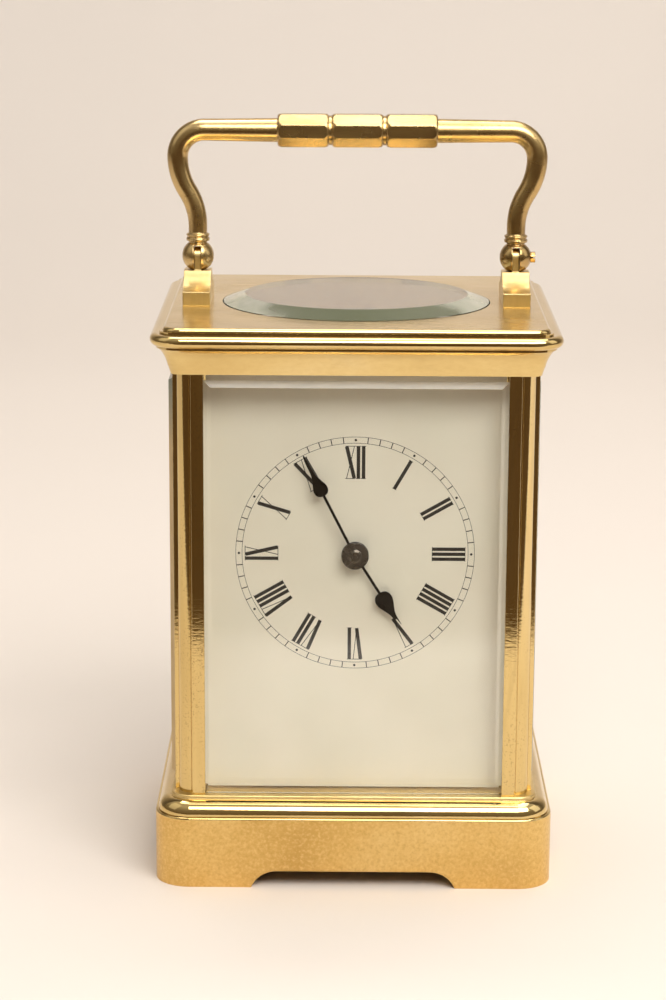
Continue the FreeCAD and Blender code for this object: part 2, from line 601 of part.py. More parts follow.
def build_post(name, side):
    """Saddle post: a long foot that sweeps up to a waist, with a round tongue for the handle's pivot."""
    body = new_body(name, f"{side} * dims.post_x", "0", "dims.case_height")
    top = "(dims.post_top - dims.case_height)"
    foot, lip, waist = "dims.post_foot", "dims.post_foot_height", "dims.post_waist"
    flare = outline(new_sketch(body, role="YZ_Plane"), [
        (f"-{foot}", "0"), (foot, "0"), (foot, lip, "dims.post_flare", -1), (waist, top),
        (f"-{waist}", top, "dims.post_flare", -1), (f"-{foot}", lip)])
    pad(flare, "dims.post_width", both_ways=True)
    pivot = "(dims.pivot_height - dims.case_height)"
    seat = body.newObject("PartDesign::SubtractiveSphere", f"{name}_seat")
    seat.setExpression("Radius", "dims.globe_radius + dims.globe_gap")
    seat.setExpression("Placement.Base.z", pivot)
    radius = "dims.tongue_radius"
    tongue = outline(new_sketch(body, role="YZ_Plane"), [
        (f"-{radius}", f"{top} - 2"), (radius, f"{top} - 2"), (radius, pivot, radius, 1),
        ("0", f"{pivot} + {radius}", radius, 1),
        (f"-{radius}", pivot)])
    pad(tongue, "dims.tongue_thick", both_ways=True)
    pocket(circles(new_sketch(body, role="YZ_Plane"), [("0", pivot, "dims.pivot_bore")]), "6",
           both_ways=True)
    screws = circles(new_sketch(body), [("0", f"{end} * dims.post_screw_y", "1.05") for end in (-1, 1)])
    pocket(screws, "2.6", reverse=True)


def build_post_screws():
    """Screws that hold the posts' feet from inside the cornice."""
    upside_down = FreeCAD.Rotation(Vec(1, 0, 0), 180)
    one = screw(1.0, value("dims.case_height - dims.cornice_bottom - 1.9 + 2.4"), 1.65, 1.5)
    height = value("dims.cornice_bottom + 1.9")
    x, y = cell("post_x"), cell("post_screw_y")
    solid_node("post_screws", Part.Compound([moved(one, a * x, b * y, height, upside_down)
                                             for a in (-1, 1) for b in (-1, 1)]))


def handle_arm():
    """Right arm: up from its collar, along an S, round the shoulder and in to the grip, ever thicker."""
    x, start, end = cell("post_x"), cell("arm_start"), cell("arm_end")
    offset, bend = cell("arm_offset"), cell("bend_radius")
    angle = 2 * math.atan2(offset, end - start)
    sway = (end - start) / (2 * math.sin(angle))
    foot = Vec(x, 0, value("dims.pivot_height + 2.6"))
    low = Vec(x, 0, start)
    crossing = low + Vec(sway * (1 - math.cos(angle)), 0, sway * math.sin(angle))
    low_middle = low + Vec(sway * (1 - math.cos(angle / 2)), 0, sway * math.sin(angle / 2))
    high = Vec(x + offset, 0, end)
    high_middle = high - Vec(sway * (1 - math.cos(angle / 2)), 0, sway * math.sin(angle / 2))
    shoulder = high + Vec(-bend, 0, bend)
    shoulder_middle = high + Vec(-bend * (1 - math.cos(math.pi / 4)), 0, bend * math.sin(math.pi / 4))
    grip_end = Vec(cell("grip_half") - 1.5, 0, shoulder.z)
    spine = Part.Wire([Part.makeLine(foot, low), Part.Arc(low, low_middle, crossing).toShape(),
                       Part.Arc(crossing, high_middle, high).toShape(),
                       Part.Arc(high, shoulder_middle, shoulder).toShape(),
                       Part.makeLine(shoulder, grip_end)])
    shell = Part.BRepOffsetAPI.MakePipeShell(spine)
    shell.setFrenetMode(True)
    shell.add(Part.Wire(Part.makeCircle(cell("arm_radius"), foot, Vec(0, 0, 1))), False, False)
    shell.add(Part.Wire(Part.makeCircle(cell("arm_thick"), grip_end, Vec(-1, 0, 0))), False, False)
    shell.build()
    shell.makeSolid()
    return shell.shape(), shoulder.z


def grip(height):
    """Three octagonal lengths with rounded ends, separated by turned grooves."""
    half, flats, groove = cell("grip_half"), cell("grip_flats"), cell("grip_groove")
    length = (2 * half - 2 * groove) / 3
    corner = flats / 2 / math.cos(math.pi / 8)
    octagon = [(corner * math.cos(math.pi * (index + 0.5) / 4),
                corner * math.sin(math.pi * (index + 0.5) / 4))
               for index in range(8)]
    end_radius, core = 0.86 * corner, 0.84 * corner
    shapes = [disc(core, -half, half)]
    for index in (-1, 0, 1):
        middle = index * (length + groove)
        low, high = middle - length / 2, middle + length / 2
        barrel = turned([(0, low), (end_radius, low), (0.94 * corner, low + 0.3), (corner, low + 0.9),
                         (corner, high - 0.9), (0.94 * corner, high - 0.3), (end_radius, high),
                         (0, high)])
        shapes.append(prism(octagon, low, length).common(barrel))
    return moved(joined(shapes), z=height, rotation=FreeCAD.Rotation(Vec(0, 1, 0), 90))


def build_handle():
    """Bail handle: split globes on the pivots, collars, swan-neck arms and the grip, in one piece."""
    arm, height = handle_arm()
    x, pivot = cell("post_x"), cell("pivot_height")
    radius, slot = cell("globe_radius"), cell("slot_width") / 2
    globe = Part.makeSphere(radius, Vec(x, 0, pivot))
    collar = moved(turned([(0, 2.4), (1.7, 2.4), (1.9, 2.9), (2.35, 3.1), (2.4, 3.55), (2.1, 3.85),
                           (2.35, 4.15), (2.35, 4.4), (1.8, 4.75), (0, 4.75)]), x, 0, pivot)
    cut = block((x - slot, x + slot), (-5, 5), (pivot - 5, pivot + cell("slot_top")))
    bore = Part.makeCylinder(cell("pivot_radius"), 10, Vec(x - 5, 0, pivot), Vec(1, 0, 0))
    right = joined([globe, collar, arm]).cut(cut).cut(bore)
    left = right.mirror(Vec(), Vec(1, 0, 0))
    sideways = FreeCAD.Rotation(Vec(0, 1, 0), 90)
    head_low, head_high, head_radius = radius - 0.25, radius + 0.75, 1.1
    seat = disc(head_radius, head_low, head_high)
    right = right.cut(moved(seat, x, 0, pivot, sideways))
    solid_node("handle_bail", joined([right, left, grip(height)]))
    pin = cell("pivot_radius")
    long_pin = disc(pin, -radius + 0.25, head_low)
    driver_slot = block((-0.2, 0.2), (-2, 2), (radius + 0.35, radius + 2))
    head = seat.cut(driver_slot)
    solid_node("handle_pivot_right", long_pin.fuse(head).removeSplitter(), Vec(x, 0, pivot), sideways)
    solid_node("handle_pivot_left", disc(pin, -radius + 0.15, radius - 0.15), Vec(-x, 0, pivot), sideways)


# ---------------------------------------------------------------- dial and hands

def build_dial():
    body = new_body("dial", "0", "dims.dial_thick - dims.dial_front", "dims.centre_z", facing(0))
    plate = new_sketch(body)
    rectangle(plate, "dims.dial_x", "dims.dial_top - dims.centre_z",
              low_y="dims.dial_bottom - dims.centre_z")
    pad(plate, "dims.dial_thick")
    pocket(circles(new_sketch(body), [("0", "0", "dims.dial_bore")]), reverse=True)
    back = value("dims.dial_thick - dims.dial_front")
    x = cell("foot_x")
    foot = Part.makeCylinder(cell("foot_radius"),
                             value("dims.plate_thick") - back - cell("front_plate") + 0.3,
                             Vec(0, back, 0), Vec(0, 1, 0))
    solid_node("dial_feet", Part.Compound([moved(foot, side * x, 0, z) for side in (-1, 1)
                                           for z in (cell("foot_low"), cell("foot_high"))]))


def pear_hand(length, bulb_place, bulb_radius, bore):
    """Flat hand along +Y: a hub, a thin stem, a pear-shaped bulb and a long fine tip."""
    stem, waist = 0.26, 0.55
    side = [Vec(stem, bulb_place - 1.02 * bulb_radius, 0),
            Vec(bulb_radius * 0.86, bulb_place - 0.62 * bulb_radius, 0),
            Vec(bulb_radius, bulb_place, 0), Vec(bulb_radius * 0.78, bulb_place + 0.75 * bulb_radius, 0),
            Vec(waist * 0.8, bulb_place + 2.2 * bulb_radius, 0),
            Vec(0.34, bulb_place + 3.4 * bulb_radius, 0),
            Vec(0.11, length, 0)]
    right = Part.BSplineCurve()
    right.interpolate(side)
    mirrored = [Vec(-point.x, point.y, 0) for point in reversed(side)]
    left = Part.BSplineCurve()
    left.interpolate(mirrored)
    edges = [right.toShape(), Part.makeLine(side[-1], mirrored[0]), left.toShape(),
             Part.makeLine(mirrored[-1], side[0])]
    thick = cell("hand_thick")
    bulb = Part.Face(Part.Wire(edges)).extrude(Vec(0, 0, thick))
    arm = block((-stem, stem), (bore, side[0].y + 0.05), (0, thick))
    hub = disc(cell("hub_radius"), 0, thick)
    return joined([hub, arm, bulb]).cut(disc(bore, -1, thick + 1))


def build_hands():
    """Blued pear hands at five to five, and the collet that holds the minute hand."""
    shown_minutes, shown_hours = 333.0, 147.7
    place = Vec(0, value("dims.hand_thick") - cell("hour_hand_front"), cell("centre_z"))
    upright = facing(0)
    hour = pear_hand(cell("hour_length"), 11.0, 1.75, 1.92)
    solid_node("hour_hand", hour, place, upright * FreeCAD.Rotation(Vec(0, 0, 1), -shown_hours))
    place = Vec(0, value("dims.hand_thick") - cell("minute_hand_front"), cell("centre_z"))
    minute = pear_hand(cell("minute_length"), 15.2, 1.45, 1.02)
    solid_node("minute_hand", minute, place, upright * FreeCAD.Rotation(Vec(0, 0, 1), -shown_minutes))
    collet = turned([(0.5, 0), (1.4, 0), (1.4, 0.25), (1.0, 0.5), (0.5, 0.5)])
    front = Vec(0, -cell("minute_hand_front"), cell("centre_z"))
    solid_node("hand_collet", collet, front, upright)


# ---------------------------------------------------------------- wheelwork

TOOTH_SHARE = 0.46
LEAF_SHARE = 0.37


def tooth_side(teeth, module, mate, leaf):
    """(radius, half angle) from a tooth's root to its tip: radial flank, then an epicycloid or a round."""
    pitch = module * teeth / 2
    if leaf:
        half = LEAF_SHARE * math.pi * module / 2
        tip = [(math.hypot(pitch + half * math.sin(turn), half * math.cos(turn)),
                math.atan2(half * math.cos(turn), pitch + half * math.sin(turn)))
               for turn in (math.radians(angle) for angle in (0, 30, 60, 82))]
        return [(pitch - 1.62 * module, tip[0][1])] + tip
    rolling = module * mate / 4
    half = TOOTH_SHARE * math.pi * module / 2 / pitch
    side = [(pitch - 0.95 * module, half)]
    for step in range(40):
        turn = 0.022 * step * rolling / pitch * 2
        total = (pitch + rolling) / rolling * turn
        x = (pitch + rolling) * math.cos(turn) - rolling * math.cos(total)
        y = (pitch + rolling) * math.sin(turn) - rolling * math.sin(total)
        angle = half - math.atan2(y, x)
        if angle < 0.14 * half:
            break
        side.append((math.hypot(x, y), angle))
    inner = side[1:]
    return side[:1] + [inner[round(share * (len(inner) - 1))] for share in (0, 0.35, 0.6, 0.8, 1)]


def gear(teeth, module, mate, leaf, phase, low, high):
    """Toothed disc along Z, with a tooth centred at the phase angle in degrees."""
    side = tooth_side(teeth, module, mate, leaf)
    points = []
    for index in range(teeth):
        middle = math.radians(phase) + 2 * math.pi * index / teeth
        whole = [(radius, middle - angle) for radius, angle in side]
        whole += [(radius, middle + angle) for radius, angle in reversed(side)]
        points += [(radius * math.cos(angle), radius * math.sin(angle)) for radius, angle in whole]
    return prism(points, low, high - low)


def crossed(wheel, outer, inner, spokes, width, low, high):
    """Cuts the openings between the spokes of a wheel."""
    openings = ring(outer, inner, low - 1, high + 1)
    for index in range(spokes):
        bar = block((0, outer + 1), (-width / 2, width / 2), (low - 2, high + 2))
        bar.rotate(Vec(), Vec(0, 0, 1), 360 * index / spokes)
        openings = openings.cut(bar)
    return wheel.cut(openings)


def bearing(start, end):
    """Direction from one arbor to another, as an angle in the wheels' own frame (clockwise from the front)."""
    return -math.degrees(math.atan2(end[1] - start[1], end[0] - start[0]))


def wheel_of(name, here, there, low, high):
    teeth, leaves = TEETH[name]
    return gear(teeth, MODULES[name], leaves, False, bearing(here, there), low, high)


def pinion_of(name, here, there, low, high):
    teeth, leaves = TEETH[name]
    return gear(leaves, MODULES[name], teeth, True, bearing(here, there) + 180 / leaves, low, high)


def arbor(radius, pivot, front=None, back=None):
    """Stepped arbor between the plates, with a pivot in each."""
    inner_front = value("dims.plate_thick - dims.front_plate") + 0.1
    inner_back = value("dims.back_plate - dims.plate_thick") - 0.1
    front = -cell("front_plate") if front is None else front
    back = cell("back_plate") if back is None else back
    return joined([disc(radius, inner_front, inner_back), disc(pivot, front, inner_front + 0.1),
                   disc(pivot, inner_back - 0.1, back)])


def arbor_node(name, shapes, place):
    return solid_node(name, joined(shapes), Vec(place[0], 0, place[1]), ALONG_Y)


def build_barrel():
    """Going barrel: drum with the great wheel on its front edge, cover, arbor, spring and ratchet work."""
    radius, wall = cell("drum_radius"), cell("drum_wall")
    front, back = cell("drum_front"), cell("drum_back")
    bore = cell("barrel_pivot") + cell("pivot_gap")
    wheel = wheel_of("great", BARREL, INTERMEDIATE, front - 2, front)
    drum = joined([wheel, disc(radius, front - 0.01, back)])
    drum = drum.cut(disc(radius - wall, front, back + 1)).cut(disc(bore, front - 3, back))
    place = Vec(BARREL[0], 0, BARREL[1])
    drum = drum.cut(disc(radius - 0.6, back - 1.4, back + 1))
    solid_node("barrel_great_wheel", drum, place, ALONG_Y)
    cover = ring(radius - 0.62, bore, back - 1.39,
                 back - 0.2).cut(disc(1.2, back - 3, back + 1, radius - 3, 0))
    solid_node("barrel_cover", cover, place, ALONG_Y)
    pivot, plates = cell("barrel_pivot"), (-cell("front_plate"), cell("back_plate"))
    square = cell("winding_square") / 2
    core = joined([disc(pivot, plates[0], plates[1] + 0.02), disc(3.0, front + 0.1, back - 1.5),
                   block((-square, square), (-square, square), (plates[1], 25.5))])
    solid_node("barrel_arbor", core, place, ALONG_Y)
    solid_node("mainspring", spiral_strip(3.3, radius - wall - 0.3, 9, 0.42, front + 0.6, back - 2.0),
               place, ALONG_Y)
    build_ratchet(place, square)


def spiral_strip(inner, outer, turns, thick, low, high):
    """A flat coiled strip: a spiral of straight chords with a constant thickness."""
    steps = turns * 28
    path = []
    for index in range(steps + 1):
        radius = inner + (outer - inner) * index / steps
        angle = 2 * math.pi * turns * index / steps
        path.append((radius, angle))
    outer_side = [((radius + thick / 2) * math.cos(angle), (radius + thick / 2) * math.sin(angle))
                  for radius, angle in path]
    inner_side = [((radius - thick / 2) * math.cos(angle), (radius - thick / 2) * math.sin(angle))
                  for radius, angle in path]
    return prism(outer_side + inner_side[::-1], low, high - low)


def build_ratchet(place, square):
    """Ratchet wheel on the winding square, with its click and spring on the back plate."""
    low = cell("back_plate") + 0.35
    high, outer, teeth = low + 1.3, cell("ratchet_radius"), 20
    points = []
    for index in range(teeth):
        angle = 2 * math.pi * index / teeth
        points += [(outer * math.cos(angle), outer * math.sin(angle)),
                   ((outer - 0.85) * math.cos(angle + 0.28), (outer - 0.85) * math.sin(angle + 0.28))]
    gap = square + 0.01
    wheel = prism(points, low, high - low).cut(block((-gap, gap), (-gap, gap), (low - 1, high + 1)))
    solid_node("ratchet_wheel", wheel, place, ALONG_Y)
    build_click(place, low, high)


def build_click(place, low, high):
    """Click on its stud, its finger just clear of the ratchet's teeth, and the blade spring behind it."""
    stud = Vec(cell("click_x"), -cell("click_z"), 0)
    clear = cell("ratchet_radius") + 0.08
    direction = Vec(math.cos(math.radians(5)), math.sin(math.radians(5)), 0)
    tip, heel = direction * clear, direction * (clear + 1.3)
    along = (tip - stud).normalize()
    across = Vec(-along.y, along.x, 0)
    corners = [stud + across, tip, heel, stud - across]
    finger = prism([(corner.x, corner.y) for corner in corners], low, high - low)
    bore = disc(0.85, low - 1, high + 1, stud.x, stud.y)
    solid_node("click", joined([finger, disc(1.7, low, high, stud.x, stud.y)]).cut(bore), place, ALONG_Y)
    post = joined([disc(0.8, low - 0.35, high + 0.15, stud.x, stud.y),
                   disc(1.3, high + 0.1, high + 0.7, stud.x, stud.y)])
    solid_node("click_stud", post, place, ALONG_Y)
    anchor, end = stud + Vec(4.2, -3.2, 0), stud + Vec(0.9, 5.9, 0)
    slope = (end - anchor).normalize()
    half = Vec(-slope.y, slope.x, 0) * 0.16
    sides = [anchor + half, end + half, end - half, anchor - half]
    blade = prism([(corner.x, corner.y) for corner in sides], low + 0.15, 0.9)
    spring = joined([disc(1.2, low - 0.35, low + 1.1, anchor.x, anchor.y), blade])
    solid_node("click_spring", spring, place, ALONG_Y)


def build_train():
    """Intermediate, centre, third and contrate wheels, each with its pinion on its arbor."""
    wheel = crossed(wheel_of("intermediate", INTERMEDIATE, CENTRE, 9.5, 10.7), 8.6, 2.6, 5, 1.2, 9.5,
                    10.7)
    pinion = pinion_of("great", INTERMEDIATE, BARREL, -17.2, -13.2)
    arbor_node("intermediate_wheel", [arbor(0.8, 0.6), disc(2.0, 8.6, 9.6), wheel, pinion], INTERMEDIATE)
    wheel = crossed(wheel_of("centre", CENTRE, THIRD, -9, -7.8), 8.9, 2.6, 5, 1.1, -9, -7.8)
    pinion = pinion_of("intermediate", CENTRE, INTERMEDIATE, 8.2, 11.8)
    square = block((-0.55, 0.55), (-0.55, 0.55), (cell("back_plate") - 0.1, 22))
    long_arbor = arbor(0.95, cell("centre_pivot"), -value("dims.minute_hand_front + 0.75"),
                       cell("back_plate"))
    front_cut = ring(2, 0.45, -30, -26.2)
    arbor_node("centre_wheel", [long_arbor.cut(front_cut), disc(2.0, -7.9, -7.0), wheel, pinion,
                                square], CENTRE)
    wheel = crossed(wheel_of("third", THIRD, CONTRATE, 6, 7), 7.2, 2.0, 5, 0.9, 6, 7)
    pinion = pinion_of("centre", THIRD, CENTRE, -10.7, -6.3)
    arbor_node("third_wheel", [arbor(0.6, cell("small_pivot")), disc(1.6, 5.2, 6.1), wheel, pinion],
               THIRD)
    arbor_node("contrate_wheel", [arbor(0.6, cell("small_pivot")), contrate_rim(),
                                  pinion_of("third", CONTRATE, THIRD, 4.8, 8.2)], CONTRATE)


def contrate_rim():
    """Crown-toothed wheel: its teeth stand up around the rim and turn the upright escape arbor."""
    teeth, leaves = TEETH["contrate"]
    module = MODULES["contrate"]
    radius, pitch = module * teeth / 2, math.pi * module
    pitch_plane = value("dims.escape_y") - module * leaves / 2
    root, tip = pitch_plane - 0.28, pitch_plane + 0.23
    half_root, half_tip = (pitch - 0.318) / 2, (pitch - 0.13) / 2
    rim = joined([ring(radius + 0.36, radius - 0.36, 0.6, tip), disc(radius + 0.36, 0, 0.9)])
    rim = crossed(rim, radius - 0.9, 2.0, 4, 1.1, 0, 0.9)
    slot_outline = [Vec(radius - 1, -half_root, root), Vec(radius - 1, half_root, root),
                    Vec(radius - 1, half_root, pitch_plane), Vec(radius - 1, half_tip, tip + 0.01),
                    Vec(radius - 1, -half_tip, tip + 0.01), Vec(radius - 1, -half_root, pitch_plane)]
    slot = Part.Face(Part.makePolygon(slot_outline + slot_outline[:1])).extrude(Vec(2, 0, 0))
    slots = []
    for index in range(teeth):
        one = slot.copy()
        one.rotate(Vec(), Vec(0, 0, 1), -90 + 360 * index / teeth)
        slots.append(one)
    return rim.cut(Part.Compound(slots))


def build_motion_work():
    """Twelve-to-one reduction between the front plate and the dial."""
    front = -cell("front_plate")
    leaves = pinion_of("minute", CENTRE, MINUTE_STUD, front - 2.2, front - 0.3)
    pipe = disc(1.2, -cell("hour_hand_front") - 0.35, front - 2.3)
    neck = disc(1.0, -cell("minute_hand_front"), front - 0.3)
    bore = disc(cell("centre_pivot") + cell("pivot_gap"), -40, front + 1)
    cannon = joined([leaves, pipe, neck]).cut(bore)
    arbor_node("cannon_pinion", [cannon], CENTRE)
    wheel = crossed(wheel_of("minute", MINUTE_STUD, CENTRE, front - 1.7, front - 0.8), 3.4, 1.9, 4, 0.7,
                    front - 1.7, front - 0.8)
    pinion = pinion_of("hour", MINUTE_STUD, CENTRE, front - 4.0, front - 1.6)
    cored = joined([wheel, disc(1.6, front - 1.7, front - 0.5), pinion]).cut(disc(0.55, front - 5,
                                                                                  front + 1))
    arbor_node("minute_wheel", [cored], MINUTE_STUD)
    wheel = wheel_of("hour", CENTRE, MINUTE_STUD, front - 3.7, front - 2.9)
    sleeve = disc(1.9, -cell("hour_hand_front"), front - 2.9)
    hollow = disc(1.3, -40, front)
    arbor_node("hour_wheel", [joined([wheel, sleeve]).cut(hollow)], CENTRE)


def build_plates():
    """Front and back plates with their pivot holes, the minute wheel's stud, the plate pillars and screws."""
    pillars = [(f"{side} * dims.pillar_x", f"dims.{end} - dims.centre_z") for side in (-1, 1)
               for end in ("plate_pillar_low", "plate_pillar_high")]
    low = "dims.base_height - dims.deck - dims.centre_z"
    gap = "dims.pivot_gap"
    pivots = [("0", "0", f"dims.centre_pivot + {gap}"),
              ("dims.barrel_x", "dims.barrel_z - dims.centre_z", f"dims.barrel_pivot + {gap}"),
              ("dims.intermediate_x", "dims.intermediate_z - dims.centre_z", f"0.6 + {gap}"),
              ("dims.third_x", "dims.third_z - dims.centre_z", f"dims.small_pivot + {gap}"),
              ("0", "dims.contrate_z - dims.centre_z", f"dims.small_pivot + {gap}")]
    for name, y in (("front_plate", "dims.plate_thick - dims.front_plate"),
                    ("back_plate", "dims.back_plate")):
        body = new_body(name, "0", y, "dims.centre_z", facing(0))
        shape = rectangle(new_sketch(body), "dims.plate_x", "dims.plate_top - dims.centre_z", low_y=low)
        pad(shape, "dims.plate_thick")
        holes = pivots + [(x, z, "1.05") for x, z in pillars]
        if name == "front_plate":
            feet = [(f"{side} * dims.foot_x", f"dims.{end} - dims.centre_z", "dims.foot_bore")
                    for side in (-1, 1)
                    for end in ("foot_low", "foot_high")]
            holes = holes + feet
            stud = ("dims.minute_stud_x", "dims.minute_stud_z - dims.centre_z")
            for radius, length in (("0.9", "0.45"), ("0.5", "4.25")):
                pad(circles(new_sketch(body, "dims.plate_thick"), [(*stud, radius)]), length)
        pocket(circles(new_sketch(body), holes), reverse=True)
    build_plate_pillars()


def build_plate_pillars():
    front = value("dims.plate_thick - dims.front_plate")
    back = value("dims.back_plate - dims.plate_thick")
    radius, x = cell("plate_pillar_radius"), cell("pillar_x")
    post = turned([(0, front), (radius, front), (radius, front + 3), (radius - 0.5, front + 3.6),
                   (radius - 0.5, back - 3.6), (radius, back - 3), (radius, back), (0, back)])
    post = post.cut(disc(1.0, front - 1, front + 4.2)).cut(disc(1.0, back - 4.2, back + 1))
    low_post = post
    for y in (-14, 8):
        low_post = low_post.cut(moved(disc(0.95, -3, 3), 0, 0, y, FreeCAD.Rotation(Vec(1, 0, 0), 90)))
    heights = ((cell("plate_pillar_low"), low_post), (cell("plate_pillar_high"), post))
    solid_node("plate_pillars", Part.Compound([moved(shape, side * x, 0, z, ALONG_Y)
                                               for side in (-1, 1) for z, shape in heights]))
    one = screw(0.97, 5.6, 1.9, 1.1)
    screws = []
    for side in (-1, 1):
        for z, _ in heights:
            screws.append(moved(one, side * x, cell("back_plate"), z, ALONG_Y))
            screws.append(moved(one, side * x, -cell("front_plate"), z, facing(0)))
    solid_node("plate_screws", Part.Compound(screws))


# ---------------------------------------------------------------- lever platform

def build_platform():
    """Platform plate on top of the plates, with its screws, jewels, cocks and the potence below."""
    low = cell("plate_top")
    top = low + cell("platform_thick")
    escape, lever, balance = cell("escape_y"), cell("lever_y"), cell("balance_y")
    body = new_body("platform", "0", "0", "dims.plate_top")
    plate = new_sketch(body)
    rectangle(plate, "dims.platform_x", "dims.back_plate", low_y="-dims.front_plate")
    pad(plate, "dims.platform_thick")
    screws = [(f"{side} * dims.platform_screw_x", y) for side in (-1, 1)
              for y in ("-dims.front_plate + 1", "dims.back_plate - 1")]
    pocket(circles(new_sketch(body), [("0", "dims.escape_y", "1.6"), ("0", "dims.lever_y", "0.6"),
                                      ("0", "dims.balance_y", "0.7")]
                   + [(x, y, "0.5") for x, y in screws]), reverse=True)
    solid_node("platform_screws", Part.Compound([moved(screw(0.46, 1.4, 0.85, 0.7), value(x), value(y),
                                                       top)
                                                 for x, y in screws]))
    jewel_sizes = ((lever, 0.6, 0.16), (balance, 0.7, 0.16))
    jewels = [moved(ring(size, bore, low, top), 0, y) for y, size, bore in jewel_sizes]
    end_piece = turned([(0, 0), (0.85, 0), (0.85, 0.55), (0.5, 0.75), (0, 0.75)])
    solid_node("platform_jewels", Part.Compound(jewels + [moved(end_piece, 0, balance, 100.3)]))
    arm = block((-1.6, 1.6), (escape - 1.6, 10),
                (94.2, 95.2)).fuse(block((-2.4, 2.4), (9, 13), (top, 95.2)))
    escape_cock = arm.removeSplitter().cut(disc(0.17, 90, 96, 0, escape))
    solid_node("escape_cock", escape_cock)
    arm = block((-1.2, 9.5), (lever - 1.3, lever + 1.3),
                (94.2, 95.2)).fuse(block((7.6, 11), (lever - 2, lever + 2), (top, 95.2)))
    solid_node("lever_cock", arm.removeSplitter().cut(disc(0.17, 90, 96, 0, lever)))
    foot = block((-4, 4), (-20, -15.2), (top, 99))
    arm = joined([block((-2.2, 2.2), (-19, balance), (98.9, 100.3)), disc(2.2, 98.9, 100.3, 0, balance),
                  foot])
    solid_node("balance_cock", arm.cut(disc(0.17, 90, 100, 0, balance)))
    index = joined([ring(1.7, 0.9, 0, 0.4), block((-0.35, 0.35), (1.3, 6.5), (0, 0.4))])
    solid_node("regulator_index", index, Vec(0, balance, 100.35), FreeCAD.Rotation(Vec(0, 0, 1), 180))
    potence = joined([block((-2, 2), (6.2, 7.8), (83.2, low)),
                      block((-2, 2), (escape - 0.4, 7), (83.2, 84.3))])
    solid_node("escape_potence", potence.cut(disc(0.2, 83.6, 85, 0, escape)))


def build_escapement():
    """Escape wheel, lever and balance, each upright between the platform and its cock."""
    escape, lever, balance = cell("escape_y"), cell("lever_y"), cell("balance_y")
    leaves, module = TEETH["contrate"][1], MODULES["contrate"]
    pinion = gear(leaves, module, TEETH["contrate"][0], True, -90, 85.4, 88.7)
    outer, points = cell("escape_radius"), []
    for index in range(15):
        angle = 2 * math.pi * index / 15
        points += [(radius * math.cos(angle + turn), radius * math.sin(angle + turn))
                   for radius, turn in ((outer, 0.0), (outer - 0.1, 0.06), (outer - 0.95, -0.03),
                                        (outer - 0.95, 0.24))]
    wheel = crossed(prism(points, 93.0, 0.45), outer - 1.35, 0.8, 4, 0.45, 93.0, 93.45)
    arbor_shape = joined([disc(0.32, 84.45, 94.05), disc(0.15, 83.9, 95.1), disc(0.7, 92.6, 93.2),
                          pinion, wheel])
    solid_node("escape_wheel", arbor_shape, Vec(0, escape, 0))
    reach = lever - balance
    fork_end = -(reach - 1.75)
    beam = block((-0.3, 0.3), (fork_end, 0.3), (92.3, 92.9))
    horns = joined([block((0.28, 0.75), (fork_end - 0.9, fork_end + 0.1), (92.3, 92.9)),
                    block((-0.75, -0.28), (fork_end - 0.9, fork_end + 0.1), (92.3, 92.9)),
                    block((-0.75, 0.75), (fork_end, fork_end + 0.5), (92.3, 92.9))])
    pallets = [moved(block((1.0, 2.9), (-0.32, 0.32), (92.3, 92.9)),
                     rotation=FreeCAD.Rotation(Vec(0, 0, 1), angle))
               for angle in (24, 156)]
    stones = [moved(block((2.45, 2.95), (-0.05, 0.75 if angle < 90 else 0.0), (92.5, 93.5)),
                    rotation=FreeCAD.Rotation(Vec(0, 0, 1), angle)) for angle in (24,)]
    stones += [shape.mirror(Vec(), Vec(1, 0, 0)) for shape in stones]
    hub = disc(1.1, 92.3, 92.9)
    staff = [disc(0.28, 91.75, 94.05), disc(0.14, 90.3, 95.1)]
    keep_out = disc(outer + 0.35, 80, 99, 0, escape - lever)
    anchor = joined(pallets + stones + [hub]).cut(keep_out)
    solid_node("lever", joined([anchor, beam, horns] + staff), Vec(0, lever, 0))
    build_balance(balance)


def build_balance(balance):
    """Balance wheel with rim screws, staff, roller and impulse pin, and its flat hairspring."""
    outer = cell("balance_radius")
    rim = ring(outer, outer - 0.9, 95.7, 96.8)
    arms = block((-outer + 0.5, outer - 0.5), (-0.45, 0.45), (95.9, 96.5))
    parts = [rim, arms, disc(1.3, 95.7, 96.9), disc(0.3, 91.8, 98.75), disc(0.14, 90.4, 99.9),
             disc(1.6, 93.7, 94.2), disc(0.8, 97.5, 98.3), disc(0.18, 93.0, 93.8, 0, 1.15)]
    for index in range(12):
        angle = math.radians(15 + 30 * index)
        direction = Vec(math.cos(angle), math.sin(angle), 0)
        parts.append(Part.makeCylinder(0.32, 1.3, direction * (outer - 0.5) + Vec(0, 0, 96.25),
                                       direction))
    solid_node("balance_wheel", joined(parts), Vec(0, balance, 0), FreeCAD.Rotation(Vec(0, 0, 1), 0))
    spring = spiral_strip(1.25, 4.6, 8, 0.12, 97.75, 98.05)
    solid_node("hairspring", spring, Vec(0, balance, 0))


# ---------------------------------------------------------------- build and write

def check_and_write():
    doc.recompute()
    for item in doc.Objects:
        if "Invalid" in item.State or "Error" in item.State:
            raise ValueError(f"{item.Label} failed: {item.State}")
    faulty = [item.Label for item in nodes
              if item.Shape.isNull() or not item.Shape.isValid() or item.Shape.Volume <= 0]
    if faulty:
        raise ValueError(f"no valid solid in {faulty}")
    os.makedirs("parts", exist_ok=True)
    for item in nodes:
        shape = item.Shape
        shape.exportStep(f"parts/{item.Label}.step")
        print(item.Label, len(shape.Solids), round(shape.Volume, 3))


